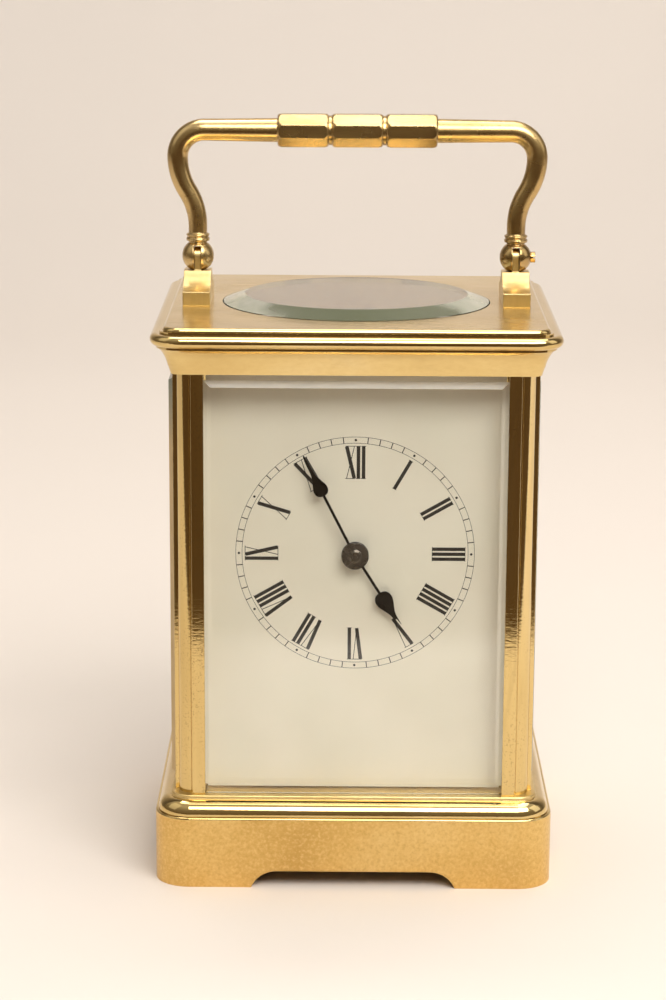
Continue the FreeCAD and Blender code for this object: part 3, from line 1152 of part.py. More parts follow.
build_base()
build_floor()
build_pillars()
build_cornice()
build_top_glass()
build_panes()
build_door()
build_post("handle_post_left", -1)
build_post("handle_post_right", 1)
build_post_screws()
build_handle()
build_dial()
build_hands()
build_plates()
build_barrel()
build_train()
build_motion_work()
build_platform()
build_escapement()
check_and_write()
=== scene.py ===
"""Carriage clock: materials, dial art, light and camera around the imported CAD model."""

import math

import bpy
from mathutils import Matrix, Vector


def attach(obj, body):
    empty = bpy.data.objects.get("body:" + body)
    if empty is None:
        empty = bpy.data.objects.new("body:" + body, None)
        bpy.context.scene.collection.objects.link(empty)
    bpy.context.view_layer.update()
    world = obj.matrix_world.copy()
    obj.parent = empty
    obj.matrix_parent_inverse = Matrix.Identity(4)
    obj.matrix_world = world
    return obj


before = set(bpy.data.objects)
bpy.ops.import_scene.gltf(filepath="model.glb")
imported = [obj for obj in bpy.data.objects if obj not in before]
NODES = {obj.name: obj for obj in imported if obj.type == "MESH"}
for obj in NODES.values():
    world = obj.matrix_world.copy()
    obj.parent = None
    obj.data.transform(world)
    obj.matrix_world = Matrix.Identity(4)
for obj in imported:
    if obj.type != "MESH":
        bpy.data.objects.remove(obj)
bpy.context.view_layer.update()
MM = 0.001

# The tones that a metal's streaks and clouds run between: (deep, body, pale).
BRASS_TONES = ((0.56, 0.385, 0.135), (0.73, 0.545, 0.235), (0.84, 0.67, 0.36))
SATIN_TONES = ((0.62, 0.375, 0.105), (0.79, 0.52, 0.172), (0.90, 0.66, 0.28))
GILT_TONES = ((0.66, 0.46, 0.18), (0.78, 0.59, 0.29), (0.88, 0.72, 0.42))
AGED_TONES = ((0.35, 0.215, 0.078), (0.58, 0.405, 0.168), (0.76, 0.575, 0.295))
# Darker tones for the grip's lower facets: painted shade under the handle's grip.
GRIP_SHADE_TONES = ((0.27, 0.17, 0.06), (0.42, 0.28, 0.105), (0.55, 0.39, 0.17))

# Most of a noise texture's values lie between these two.
NOISE_LOW, NOISE_HIGH = 0.3, 0.7

# The heights, in metres, where the painted looks of the bevelled panes change: the painted highlight
# on the wide bevels gives way to a painted dark reflection of the cornice's underside, and the narrow
# left bevel's painted gold reflection of the pillar gives way to grey-green.
BEVEL_BRIGHT_TOP, BEVEL_FADE = 0.1030, 0.00012
EDGE_MIRRORED_GOLD_TOP, EDGE_GREEN = 0.088, 0.101

# The painted dark patch on the top glass's bevel, standing for the dim inside of the case seen
# through it, in metres: how far it reaches sideways, how far forward it starts, and how much its ends
# waver.
DARK_OUT, DARK_IN = 0.021, 0.017
DARK_BACK, DARK_FRONT = -0.012, -0.016
DARK_WAVER = 0.004

# Where the lit paper ends in front of the clock when the brass mirrors it, in metres, how much
# farther out it ends for each metre sideways, and what lies beyond it: a dim glow, painted as the
# dark room in the brass's reflections and as shade in the light bounced off the paper. To the
# right, a distance sideways counts for less.
SHEET_FRONT, SHEET_SLANT, SHEET_FADE = 0.192, 0.10, 0.02
SHEET_END_TONE = (0.115, 0.071, 0.035)
RIGHT_SHARE = 0.7

# Seen directly, the paper fades between these distances from the clock, in metres, into a painted
# glow of the room's tone in place of lit paper.
ROOM_GLOW_AHEAD, ROOM_GLOW_ASIDE = (0.25, 1.2), (0.7, 1.6)
ROOM_TONE = (0.86, 0.74, 0.63)


# ---------------------------------------------------------------- materials

class Nodes:
    """A short way to write one material's node tree."""

    def __init__(self, name):
        self.material = bpy.data.materials.new(name)
        self.material.use_nodes = True
        self.tree = self.material.node_tree
        self.shader = self.tree.nodes["Principled BSDF"]
        self.output = self.tree.nodes["Material Output"]
        coordinates = self.tree.nodes.new("ShaderNodeTexCoord")
        self.place = coordinates.outputs["Object"]

    def node(self, kind, **settings):
        made = self.tree.nodes.new("ShaderNode" + kind)
        for key, setting in settings.items():
            setattr(made, key, setting)
        return made

    def link(self, source, target):
        self.tree.links.new(source, target)

    def put(self, target, value):
        """Links a socket, or sets a number or a colour."""
        if isinstance(value, bpy.types.NodeSocket):
            self.link(value, target)
        elif isinstance(value, tuple):
            target.default_value = (*value, 1.0)
        else:
            target.default_value = value

    def axes(self):
        """The x, y and z of the place on the object, in metres."""
        parts = self.node("SeparateXYZ")
        self.link(self.place, parts.inputs["Vector"])
        return [parts.outputs[axis] for axis in "XYZ"]

    def noise(self, scale, detail=4.0, rough=0.55, stretch=(1, 1, 1), twist=0.0):
        """Noise; a small number in stretch draws it out along that axis."""
        mapping = self.node("Mapping")
        mapping.inputs["Scale"].default_value = stretch
        self.link(self.place, mapping.inputs["Vector"])
        made = self.node("TexNoise")
        made.inputs["Scale"].default_value = scale
        made.inputs["Detail"].default_value = detail
        made.inputs["Roughness"].default_value = rough
        made.inputs["Distortion"].default_value = twist
        self.link(mapping.outputs["Vector"], made.inputs["Vector"])
        return made.outputs["Fac"]

    def cells(self, scale):
        made = self.node("TexVoronoi", feature="F1")
        made.inputs["Scale"].default_value = scale
        self.link(self.place, made.inputs["Vector"])
        return made.outputs["Distance"]

    def ramp(self, source, stops):
        made = self.node("ValToRGB")
        points = made.color_ramp.elements
        while len(points) < len(stops):
            points.new(0.5)
        for point, (position, colour) in zip(points, stops):
            point.position = position
            point.color = (*colour, 1.0)
        self.link(source, made.inputs["Fac"])
        return made.outputs["Color"]

    def tones(self, source, dark, light):
        """Two colours that a noise runs between."""
        return self.ramp(source, [(NOISE_LOW, dark), (NOISE_HIGH, light)])

    def span(self, source, low, high, to_low=0.0, to_high=1.0):
        made = self.node("MapRange")
        made.inputs["From Min"].default_value = low
        made.inputs["From Max"].default_value = high
        made.inputs["To Min"].default_value = to_low
        made.inputs["To Max"].default_value = to_high
        self.link(source, made.inputs["Value"])
        return made.outputs["Result"]

    def vary(self, source, low, high):
        """Two numbers that a noise runs between."""
        return self.span(source, NOISE_LOW, NOISE_HIGH, low, high)

    def mixed(self, amount, first, second):
        made = self.node("Mix", data_type="RGBA", blend_type="MIX")
        self.put(made.inputs["Factor"], amount)
        self.put(made.inputs["A"], first)
        self.put(made.inputs["B"], second)
        return made.outputs["Result"]

    def math(self, operation, first, second=0.0):
        made = self.node("Math", operation=operation)
        self.put(made.inputs[0], first)
        self.put(made.inputs[1], second)
        return made.outputs["Value"]

    def rounded(self, radius):
        """The normal, with the edges rounded off."""
        made = self.node("Bevel", samples=4)
        made.inputs["Radius"].default_value = radius
        return made.outputs["Normal"]

    def edges(self, radius, low=0.02, high=0.12):
        """1 along the edges, where the rounded normal leaves the true one."""
        geometry = self.node("NewGeometry")
        dot = self.node("VectorMath", operation="DOT_PRODUCT")
        self.link(self.rounded(radius), dot.inputs[0])
        self.link(geometry.outputs["Normal"], dot.inputs[1])
        return self.span(self.math("SUBTRACT", 1.0, dot.outputs["Value"]), low, high)

    def bump(self, height, strength, distance, normal=None):
        made = self.node("Bump")
        made.inputs["Strength"].default_value = strength
        made.inputs["Distance"].default_value = distance
        self.link(height, made.inputs["Height"])
        if normal is not None:
            self.link(normal, made.inputs["Normal"])
        return made.outputs["Normal"]

    def glow(self, colour):
        made = self.node("Emission")
        self.put(made.inputs["Color"], colour)
        return made.outputs["Emission"]

    def blend(self, amount, first, second):
        """Two shaders, mixed."""
        made = self.node("MixShader")
        self.link(amount, made.inputs["Fac"])
        self.link(first, made.inputs[1])
        self.link(second, made.inputs[2])
        return made.outputs["Shader"]

    def finish(self, colour, rough, normal, **constants):
        self.put(self.shader.inputs["Base Color"], colour)
        self.put(self.shader.inputs["Roughness"], rough)
        self.link(normal, self.shader.inputs["Normal"])
        for name, number in constants.items():
            self.put(self.shader.inputs[name.replace("_", " ")], number)
        return self.material


def shade(colour, share):
    """A colour made darker or lighter by a factor."""
    return tuple(share * part for part in colour)


def metal(name, tones, rough, grain=(1, 1, 1), grain_scale=900, grain_bump=0.05,
          wave=0.0, streak=(1, 1, 1), stain=0.0, edge=0.00035, speckle=0.0, chatter=0.0):
    """A lacquered metal: cloudy tone, drawn grain, stains, pits, edges painted paler as a highlight,
    tool ripples.
    """
    n = Nodes(name)
    deep, body, pale = tones
    cloud = n.noise(38, 5, 0.6, streak, 0.6)
    colour = n.ramp(cloud, [(0.28, deep), (0.5, body), (0.74, pale)])
    grain_noise = n.noise(grain_scale, 3, 0.6, grain)
    colour = n.mixed(n.span(grain_noise, 0.35, 0.7, 0.0, 0.22), colour, deep)
    if stain:
        spots = n.span(n.noise(120, 6, 0.7, streak, 1.5), 0.56, 0.7, 0.0, stain)
        colour = n.mixed(spots, colour, shade(deep, 0.35))
    roughness = n.span(n.noise(60, 6, 0.65, streak), 0.3, 0.75, rough * 0.8, rough * 1.5)
    if speckle:
        pits = n.span(n.noise(3000, 2, 0.5), 0.58, 0.68)
        patches = n.span(n.noise(140, 4, 0.6, (1, 1, 0.4)), 0.47, 0.62, 0.0, speckle)
        marks = n.math("MULTIPLY", pits, patches)
        colour = n.mixed(marks, colour, shade(deep, 0.4))
        roughness = n.math("ADD", roughness, n.math("MULTIPLY", marks, 0.25))
    roughness = n.math("ADD", roughness, n.span(grain_noise, 0.4, 0.7, 0.0, rough * 0.3))
    normal = None
    if edge:
        # Painted highlight: the colour turns paler along the edges, where a rounded edge catches the
        # light.
        colour = n.mixed(n.math("MULTIPLY", n.edges(edge), 0.45), colour, pale)
        normal = n.rounded(edge)
    if wave:
        normal = n.bump(n.noise(55, 2, 0.5, streak), wave, 0.001, normal)
    if chatter:
        normal = n.bump(n.noise(2200, 2, 0.5, (0.3, 0.3, 1)), chatter, 0.0001, normal)
    normal = n.bump(grain_noise, grain_bump, 0.0002, normal)
    return n.finish(colour, roughness, normal, Metallic=1.0, Coat_Weight=0.18,
                    Coat_Roughness=0.05, Coat_IOR=1.5)


def plinth_metal():
    """Fine satin brass: a sparkling matt grain under a soft sheen."""
    n = Nodes("satin_brass")
    deep, body, pale = SATIN_TONES
    cloud = n.noise(26, 5, 0.6)
    colour = n.ramp(cloud, [(0.3, deep), (0.52, body), (0.75, pale)])
    sand = n.noise(1500, 4, 0.75)
    colour = n.mixed(n.span(sand, 0.50, 0.66, 0.0, 0.6), colour, pale)
    colour = n.mixed(n.span(sand, 0.48, 0.34, 0.0, 0.5), colour, deep)
    edge = 0.0004
    # Painted highlight: the colour turns paler along the edges.
    colour = n.mixed(n.math("MULTIPLY", n.edges(edge), 0.5), colour, pale)
    rough = n.vary(n.noise(90, 5, 0.6), 0.30, 0.40)
    normal = n.bump(sand, 0.38, 0.00016, n.rounded(edge))
    return n.finish(colour, rough, normal, Metallic=1.0, Coat_Weight=0.1, Coat_Roughness=0.2)


def steel_metal():
    """Bright steel with the fine lines of its turning."""
    n = Nodes("polished_steel")
    cloud = n.noise(150, 5, 0.6)
    colour = n.tones(cloud, (0.36, 0.37, 0.39), (0.62, 0.62, 0.61))
    turned = n.noise(2200, 2, 0.6, (1, 1, 0.15))
    colour = n.mixed(n.span(turned, 0.4, 0.7, 0.0, 0.3), colour, (0.25, 0.25, 0.26))
    rough = n.vary(cloud, 0.14, 0.26)
    normal = n.bump(turned, 0.08, 0.0001, n.rounded(0.0001))
    return n.finish(colour, rough, normal, Metallic=1.0)


def blued_metal(name, dark, light, rough):
    """Fire-blued steel: almost black, with a painted blue-violet sheen at its rounded edges."""
    n = Nodes(name)
    colour = n.tones(n.noise(240, 4, 0.55), dark, light)
    # Painted sheen: the colour turns blue-violet along the rounded edges.
    colour = n.mixed(n.math("MULTIPLY", n.edges(0.00012), 0.35), colour, (0.10, 0.12, 0.18))
    roughness = n.vary(n.noise(500, 4, 0.6), rough * 0.8, rough * 1.3)
    normal = n.bump(n.noise(1800, 2, 0.5), 0.06, 0.0001, n.rounded(0.00015))
    return n.finish(colour, roughness, normal, Metallic=0.75)


def enamel():
    """Fired enamel: warm white, faint clouds and pin specks under a glassy face."""
    n = Nodes("dial_enamel")
    cloud = n.noise(45, 5, 0.6)
    colour = n.ramp(cloud, [(0.3, (0.81, 0.72, 0.60)), (0.55, (0.85, 0.765, 0.645)),
                            (0.8, (0.875, 0.795, 0.68))])
    specks = n.span(n.cells(420), 0.03, 0.07, 0.35, 0.0)
    keep = n.span(n.noise(160, 2, 0.5), 0.62, 0.7)
    colour = n.mixed(n.math("MULTIPLY", specks, keep), colour, (0.45, 0.36, 0.24))
    rough = n.vary(n.noise(300, 4, 0.6), 0.30, 0.42)
    normal = n.bump(n.noise(90, 2, 0.5), 0.04, 0.0005)
    return n.finish(colour, rough, normal, Coat_Weight=0.25, Coat_Roughness=0.12,
                    Specular_IOR_Level=0.4)


def print_black():
    """Dial paint: soft black with a slightly uneven, raised body."""
    n = Nodes("dial_paint")
    colour = n.tones(n.noise(900, 3, 0.6), (0.013, 0.010, 0.009), (0.036, 0.029, 0.024))
    rough = n.vary(n.noise(700, 3, 0.5), 0.32, 0.5)
    return n.finish(colour, rough, n.bump(n.noise(1500, 2, 0.5), 0.1, 0.0001))


def plate_glass():
    """Plate glass with a faint green body, which lets shadow rays through with a light tint."""
    n = Nodes("plate_glass")
    rough = n.span(n.noise(30, 4, 0.6), 0.4, 0.8, 0.0, 0.02)
    colour = n.tones(n.noise(80, 3, 0.5), (0.955, 0.975, 0.955), (0.985, 0.99, 0.98))
    n.finish(colour, rough, n.bump(n.noise(12, 2, 0.5), 0.02, 0.001),
             Transmission_Weight=1.0, IOR=1.5)
    clear = n.node("BsdfTransparent")
    n.put(clear.inputs["Color"], (0.93, 0.945, 0.925))
    path = n.node("LightPath")
    either = n.math("MAXIMUM", path.outputs["Is Shadow Ray"], path.outputs["Is Diffuse Ray"])
    mix = n.blend(either, n.shader.outputs["BSDF"], clear.outputs["BSDF"])
    n.link(mix, n.output.inputs["Surface"])
    return n.material


def ground_bevel():
    """The wide ground bevel of the top glass: the glass's green, painted pale as the lit movement seen
    through it, and a painted dark patch along the middle of its front.
    """
    n = Nodes("bevel_glass")
    # Painted light: pale greens for the lit movement seen through the bevel, over the glass's own green.
    cloud = n.noise(120, 4, 0.6, (1, 1, 0.4))
    colour = n.ramp(cloud, [(0.3, (0.66, 0.67, 0.49)), (0.55, (0.80, 0.79, 0.62)),
                            (0.8, (0.94, 0.91, 0.78))])
    x, y, _ = n.axes()
    waver = n.span(n.noise(70, 1, 0.4, (1, 0.3, 1)), 0.35, 0.65, -DARK_WAVER, DARK_WAVER)
    aside = n.math("ADD", n.math("ABSOLUTE", x), waver)
    inside = n.math("MULTIPLY", n.span(aside, DARK_OUT, DARK_IN), n.span(y, DARK_BACK, DARK_FRONT))
    # Painted shade: a dark patch along the middle of the front, the dim inside of the case seen through
    # it.
    colour = n.mixed(n.math("MULTIPLY", inside, 0.9), colour, (0.15, 0.175, 0.08))
    rough = n.vary(n.noise(300, 4, 0.6), 0.06, 0.18)
    normal = n.bump(n.noise(700, 3, 0.6), 0.08, 0.0002)
    return n.finish(colour, rough, normal, Transmission_Weight=0.55, IOR=1.5,
                    Specular_IOR_Level=0.6)


def pane_bevel():
    """The bevelled border of the front and side panes: a pale colour painted as a highlight, and a
    painted dark reflection of the cornice's underside along the top of the case.
    """
    n = Nodes("pane_bevel")
    # Painted highlight: the pale colour stands for the light the bevel throws back.
    colour = n.tones(n.noise(200, 4, 0.6), (0.90, 0.89, 0.84), (0.98, 0.97, 0.93))
    _, _, z = n.axes()
    # Painted dark reflection of the cornice's underside, above BEVEL_BRIGHT_TOP.
    outer = n.span(z, BEVEL_BRIGHT_TOP, BEVEL_BRIGHT_TOP + BEVEL_FADE)
    colour = n.mixed(outer, colour, (0.20, 0.17, 0.12))
    rough = n.vary(n.noise(400, 3, 0.6), 0.02, 0.08)
    return n.finish(colour, rough, n.bump(n.noise(60, 2, 0.5), 0.03, 0.0005),
                    Transmission_Weight=0.62, IOR=1.5)


def pane_edge():
    """The left pane's narrow front bevel: a painted gold reflection of the pillar beside it, grey-green
    near its top.
    """
    n = Nodes("edge_glass")
    # Painted reflection: the pillar's gold, turning grey-green near the top.
    colour = n.tones(n.noise(260, 4, 0.6, (1, 1, 0.2)), (0.66, 0.45, 0.20), (0.84, 0.62, 0.32))
    _, _, z = n.axes()
    colour = n.mixed(n.span(z, EDGE_MIRRORED_GOLD_TOP, EDGE_GREEN), colour, (0.40, 0.42, 0.33))
    rough = n.vary(n.noise(400, 3, 0.6), 0.15, 0.25)
    return n.finish(colour, rough, n.bump(n.noise(900, 2, 0.5), 0.05, 0.0002),
                    Transmission_Weight=0.15, IOR=1.5)


def ruby():
    """Clear red synthetic ruby."""
    n = Nodes("ruby_jewel")
    colour = n.tones(n.noise(900, 3, 0.5), (0.42, 0.02, 0.05), (0.70, 0.06, 0.12))
    rough = n.vary(n.noise(600, 2, 0.5), 0.05, 0.12)
    return n.finish(colour, rough, n.rounded(0.00005), Transmission_Weight=0.5, IOR=1.76)


def paper():
    """The seamless sheet that the clock stands on: pale to look at; beyond a line in front, mirrored and
    bounced rays meet a dim glow, a painted dark reflection and painted shade, and far off the camera
    sees a painted glow of the room's tone.
    """
    n = Nodes("sweep_paper")
    tone, spread = (0.75, 0.672, 0.597), 0.015
    colour = n.tones(n.noise(3.0, 3, 0.5), shade(tone, 1 - spread), shade(tone, 1 + spread))
    n.finish(colour, 0.75, n.bump(n.noise(900, 3, 0.6), 0.05, 0.0002), Specular_IOR_Level=0.15)
    x, y, _ = n.axes()
    aside = n.math("MAXIMUM", n.math("MULTIPLY", x, -1.0), n.math("MULTIPLY", x, RIGHT_SHARE))
    ahead = n.math("MULTIPLY", y, -1.0)
    reach = n.math("SUBTRACT", ahead, n.math("MULTIPLY", aside, SHEET_SLANT))
    # Beyond the line in front, mirrored and bounced rays meet a dim glow: a painted dark room in the
    # brass's reflections and painted shade in the bounced light.
    beyond = n.span(reach, SHEET_FRONT, SHEET_FRONT + SHEET_FADE)
    path = n.node("LightPath")
    bounced = n.math("MAXIMUM", path.outputs["Is Glossy Ray"], path.outputs["Is Diffuse Ray"])
    sheet = n.blend(n.math("MULTIPLY", bounced, beyond), n.shader.outputs["BSDF"],
                    n.glow(SHEET_END_TONE))
    # Far off, camera rays see a painted glow of the room's tone instead of lit paper.
    far = n.math("MAXIMUM", n.span(ahead, *ROOM_GLOW_AHEAD), n.span(aside, *ROOM_GLOW_ASIDE))
    room_glow_mix = n.blend(n.math("MULTIPLY", path.outputs["Is Camera Ray"], far), sheet,
                    n.glow(ROOM_TONE))
    n.link(room_glow_mix, n.output.inputs["Surface"])
    return n.material


polished = metal("polished_brass", BRASS_TONES, 0.075, grain=(1, 1, 0.06), grain_scale=1400,
                 grain_bump=0.04, wave=0.012, streak=(1, 1, 0.35), stain=0.10)
pillar_brass = metal("pillar_brass", BRASS_TONES, 0.06, grain=(1, 1, 0.03), grain_scale=1500,
                     wave=0.008, streak=(1, 1, 0.12), stain=0.14, edge=0.0002, speckle=0.45,
                     chatter=0.09)
moulded = metal("moulded_brass", BRASS_TONES, 0.085, grain=(0.5, 0.5, 1), grain_scale=1500,
                grain_bump=0.008, streak=(0.3, 0.3, 1.0), stain=0.10, edge=0.0)
handle_brass = metal("handle_brass", AGED_TONES, 0.20, grain=(0.15, 1, 0.15), grain_scale=700,
                     grain_bump=0.10, wave=0.05, streak=(0.25, 1, 1), stain=0.30)
# The grip's lower facets: a darker brass painted as shade.
grip_shade_brass = metal("grip_shade_brass", GRIP_SHADE_TONES, 0.16, grain=(0.15, 1, 0.15), grain_scale=700,
                   grain_bump=0.06, streak=(0.25, 1, 1), stain=0.20)
post_brass = metal("post_brass", BRASS_TONES, 0.28, grain=(1, 1, 0.1), grain_scale=1100,
                   grain_bump=0.10, streak=(1, 1, 0.3), stain=0.15)
plate_brass = metal("plate_brass", BRASS_TONES, 0.19, grain=(0.08, 1, 1), grain_scale=1300,
                    grain_bump=0.06, streak=(0.5, 1, 1), stain=0.12)
step_brass = metal("step_brass", BRASS_TONES, 0.32, grain_scale=1300, grain_bump=0.015,
                   streak=(0.5, 1, 1), stain=0.06)
gilt = metal("gilt_brass", GILT_TONES, 0.22, grain_scale=2200, grain_bump=0.12, stain=0.05,
             edge=0.0002)
wheel_gilt = metal("wheel_gilt", GILT_TONES, 0.15, grain=(1, 0.2, 1), grain_scale=1800,
                   grain_bump=0.08, stain=0.04, edge=0.0001)
satin = plinth_metal()
steel = steel_metal()
blued = blued_metal("blued_steel", (0.010, 0.013, 0.035), (0.02, 0.03, 0.085), 0.24)
hand_black = blued_metal("hand_blued", (0.011, 0.009, 0.008), (0.026, 0.021, 0.018), 0.30)
hub_steel = blued_metal("hub_steel", (0.10, 0.082, 0.065), (0.17, 0.14, 0.115), 0.26)
enamel_white = enamel()
dial_black = print_black()
clear_glass = plate_glass()
bevel_glass = ground_bevel()
border_glass = pane_bevel()
edge_glass = pane_edge()
red_ruby = ruby()


def paint(material, *names):
    for name in names:
        NODES[name].data.materials.clear()
        NODES[name].data.materials.append(material)


paint(moulded, "cornice")
paint(satin, "base_moulding")
paint(pillar_brass, "pillar_front_left", "pillar_front_right", "pillar_rear_left",
      "pillar_rear_right", "rear_door_frame")
paint(handle_brass, "handle_bail", "handle_pivot_left", "handle_pivot_right")
paint(post_brass, "handle_post_left", "handle_post_right", "post_screws")
paint(polished, "base_floor", "door_knob", "door_hinge_pins")
paint(steel, "floor_screws", "pillar_screws", "pillar_studs", "plate_screws", "platform_screws",
      "hour_wheel", "cannon_pinion", "barrel_arbor", "ratchet_wheel", "click", "click_stud", "lever",
      "escape_wheel", "regulator_index", "dial_feet")
paint(gilt, "front_plate", "back_plate", "plate_pillars", "platform", "escape_cock", "lever_cock",
      "balance_cock", "escape_potence")
paint(wheel_gilt, "centre_wheel", "intermediate_wheel", "barrel_great_wheel", "barrel_cover",
      "third_wheel", "contrate_wheel", "minute_wheel", "balance_wheel")
paint(blued, "click_spring", "hairspring", "mainspring")
paint(hand_black, "minute_hand", "hour_hand")
paint(hub_steel, "hand_collet")
paint(enamel_white, "dial")
paint(clear_glass, "top_glass", "front_glass", "left_glass", "right_glass", "rear_door_glass")
paint(red_ruby, "platform_jewels")


def band(name, material, chosen):
    """Gives the CAD faces that the test picks, from their corners and normal, another material."""
    data = NODES[name].data
    data.materials.append(material)
    slot = len(data.materials) - 1
    for face in data.polygons:
        if chosen([data.vertices[i].co for i in face.vertices], face.normal):
            face.material_index = slot


def above(height, level_only=False):
    """Picks the faces that lie wholly above a height."""
    return lambda corners, normal: (min(c.z for c in corners) > height
                                    and (normal.z > 0.99 or not level_only))


PLINTH_TOP = 12.4 * MM
STEP_LOW = 17.5 * MM
CORNICE_TOP = 113.7 * MM
GLASS_SEAT = 113.8 * MM
GLASS_FIELD = 115.3 * MM
HUB_BACK = -27.0 * MM
HUB_RADIUS = 2.75 * MM
CENTRE_Z = 67.45 * MM
TONGUE_FRONT = -30.6 * MM
GRIP_HALF = 16.6 * MM

# Over the satin plinth the cushion moulding is polished and the step on it is finely brushed.
band("base_moulding", moulded, above(PLINTH_TOP))
band("base_moulding", step_brass, above(STEP_LOW))
# The cornice's flat top is brushed, and the bevel of the glass in it shows the green of the plate,
# painted pale as the lit movement seen through it, with a painted dark patch along its front.
band("cornice", plate_brass, above(CORNICE_TOP, level_only=True))
band("top_glass", bevel_glass, above(GLASS_SEAT))
band("top_glass", clear_glass, above(GLASS_FIELD, level_only=True))
# The centre arbor's end and the middle of the minute hand are bright steel.
band("centre_wheel", hub_steel, lambda corners, normal: max(c.y for c in corners) < HUB_BACK)
# The front glass's upper bevel and the side panes' bevels take the pale bevel glass, a painted
# highlight with a painted dark reflection along the top; the grip's lower facets take a darker
# brass, painted shade.
band("front_glass", border_glass,
     lambda corners, normal: normal.z > 0.2 and max(c.y for c in corners) < TONGUE_FRONT)
# Painted shade on the grip's lower facets.
band("handle_bail", grip_shade_brass,
     lambda corners, normal: normal.z < -0.2 and max(abs(c.x) for c in corners) < GRIP_HALF)
for pane in ("left_glass", "right_glass"):
    band(pane, border_glass, lambda corners, normal: abs(normal.x) < 0.99)
# The left pane's narrow front bevel gets the painted gold reflection of the pillar.
band("left_glass", edge_glass, lambda corners, normal: normal.x < -0.2 and normal.y < -0.2)
band("minute_hand", hub_steel,
     lambda corners, normal: max(math.hypot(c.x, c.z - CENTRE_Z) for c in corners) < HUB_RADIUS)


# ---------------------------------------------------------------- dial art

DIAL_FACE = -26.6 * MM
PAINT_HIGH = 0.02 * MM


class Sheet:
    """Flat shapes on the dial's face, each a thin raised slab of paint."""

    def __init__(self):
        self.points = []
        self.faces = []

    def slab(self, outline):
        """A convex outline of (x, z) points in mm from the dial's centre, counter-clockwise."""
        first = len(self.points)
        count = len(outline)
        for depth in (0.0, PAINT_HIGH):
            self.points += [(x * MM, DIAL_FACE - depth, CENTRE_Z + z * MM) for x, z in outline]
        self.faces.append([first + count + i for i in range(count)])
        for i in range(count):
            j = (i + 1) % count
            self.faces.append([first + i, first + j, first + count + j, first + count + i])

    def stroke(self, start, end, start_wide, end_wide=None):
        """A straight stroke that may taper."""
        (x0, z0), (x1, z1) = start, end
        length = math.hypot(x1 - x0, z1 - z0)
        across = (-(z1 - z0) / length, (x1 - x0) / length)
        near = start_wide / 2
        far = near if end_wide is None else end_wide / 2
        self.slab([(x0 - across[0] * near, z0 - across[1] * near),
                   (x1 - across[0] * far, z1 - across[1] * far),
                   (x1 + across[0] * far, z1 + across[1] * far),
                   (x0 + across[0] * near, z0 + across[1] * near)])

    def circle(self, radius, wide, steps=360):
        inner, outer = radius - wide / 2, radius + wide / 2
        for i in range(steps):
            a, b = (math.tau * k / steps for k in (i, i + 1))
            self.slab([(outer * math.sin(a), outer * math.cos(a)),
                       (inner * math.sin(a), inner * math.cos(a)),
                       (inner * math.sin(b), inner * math.cos(b)),
                       (outer * math.sin(b), outer * math.cos(b))])

    def spot(self, x, z, radius, steps=20):
        turns = [math.tau * k / steps for k in range(steps)]
        self.slab([(x + radius * math.cos(a), z + radius * math.sin(a)) for a in turns])

    def piece(self, name):
        mesh = bpy.data.meshes.new(name)
        mesh.from_pydata(self.points, [], self.faces)
        mesh.validate()
        mesh.materials.append(dial_black)
        piece = bpy.data.objects.new(name, mesh)
        bpy.context.scene.collection.objects.link(piece)
        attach(piece, "case")


def on_ray(angle, radius, side=0.0):
    """A point at a clockwise angle in degrees from twelve, moved sideways across the ray."""
    a = math.radians(angle)
    return (radius * math.sin(a) + side * math.cos(a), radius * math.cos(a) - side * math.sin(a))


# The dial art's sizes in mm.
TRACK_OUTER, TRACK_INNER = 23.7, 22.45
TICK_WIDE, RING_WIDE = 0.19, 0.085
FIVE_DOT = 0.25
NUMERAL_LOW, NUMERAL_HIGH = 15.25, 21.9
THICK, THIN, SERIF = 0.69, 0.14, 0.12
SLANTED_THICK = THICK * 1.05
LETTER_WIDE = {"I": 1.02, "V": 2.05, "X": 2.10}
SERIF_OVER, SERIF_GAP = 0.30, 0.04
V_FOOT_SHARE = 0.12
NUMERALS = ["XII", "I", "II", "III", "IIII", "V", "VI", "VII", "VIII", "IX", "X", "XI"]


def build_track():
    """Two fine circles with a tick at each minute and a dot at each fifth."""
    sheet = Sheet()
    sheet.circle(TRACK_OUTER, RING_WIDE)
    sheet.circle(TRACK_INNER, RING_WIDE)
    for minute in range(60):
        angle = minute * 6
        if minute % 5 == 0:
            sheet.spot(*on_ray(angle, (TRACK_INNER + TRACK_OUTER) / 2), FIVE_DOT)
        else:
            sheet.stroke(on_ray(angle, TRACK_INNER), on_ray(angle, TRACK_OUTER), TICK_WIDE)
    sheet.piece("dial_minute_track")


def letter_strokes(sheet, letter, angle, middle):
    """One letter between its serifs, at a distance sideways from the numeral's middle."""
    foot, head = NUMERAL_LOW + SERIF, NUMERAL_HIGH - SERIF
    reach = LETTER_WIDE[letter] / 2 - SERIF_OVER
    if letter == "I":
        sheet.stroke(on_ray(angle, foot, middle), on_ray(angle, head, middle), THICK)
    elif letter == "V":
        point = on_ray(angle, foot, middle + reach * V_FOOT_SHARE)
        sheet.stroke(on_ray(angle, head, middle - reach), point, SLANTED_THICK, THICK)
        sheet.stroke(on_ray(angle, head, middle + reach), point, THIN)
    else:
        sheet.stroke(on_ray(angle, head, middle - reach), on_ray(angle, foot, middle + reach),
                     SLANTED_THICK)
        sheet.stroke(on_ray(angle, head, middle + reach), on_ray(angle, foot, middle - reach), THIN)


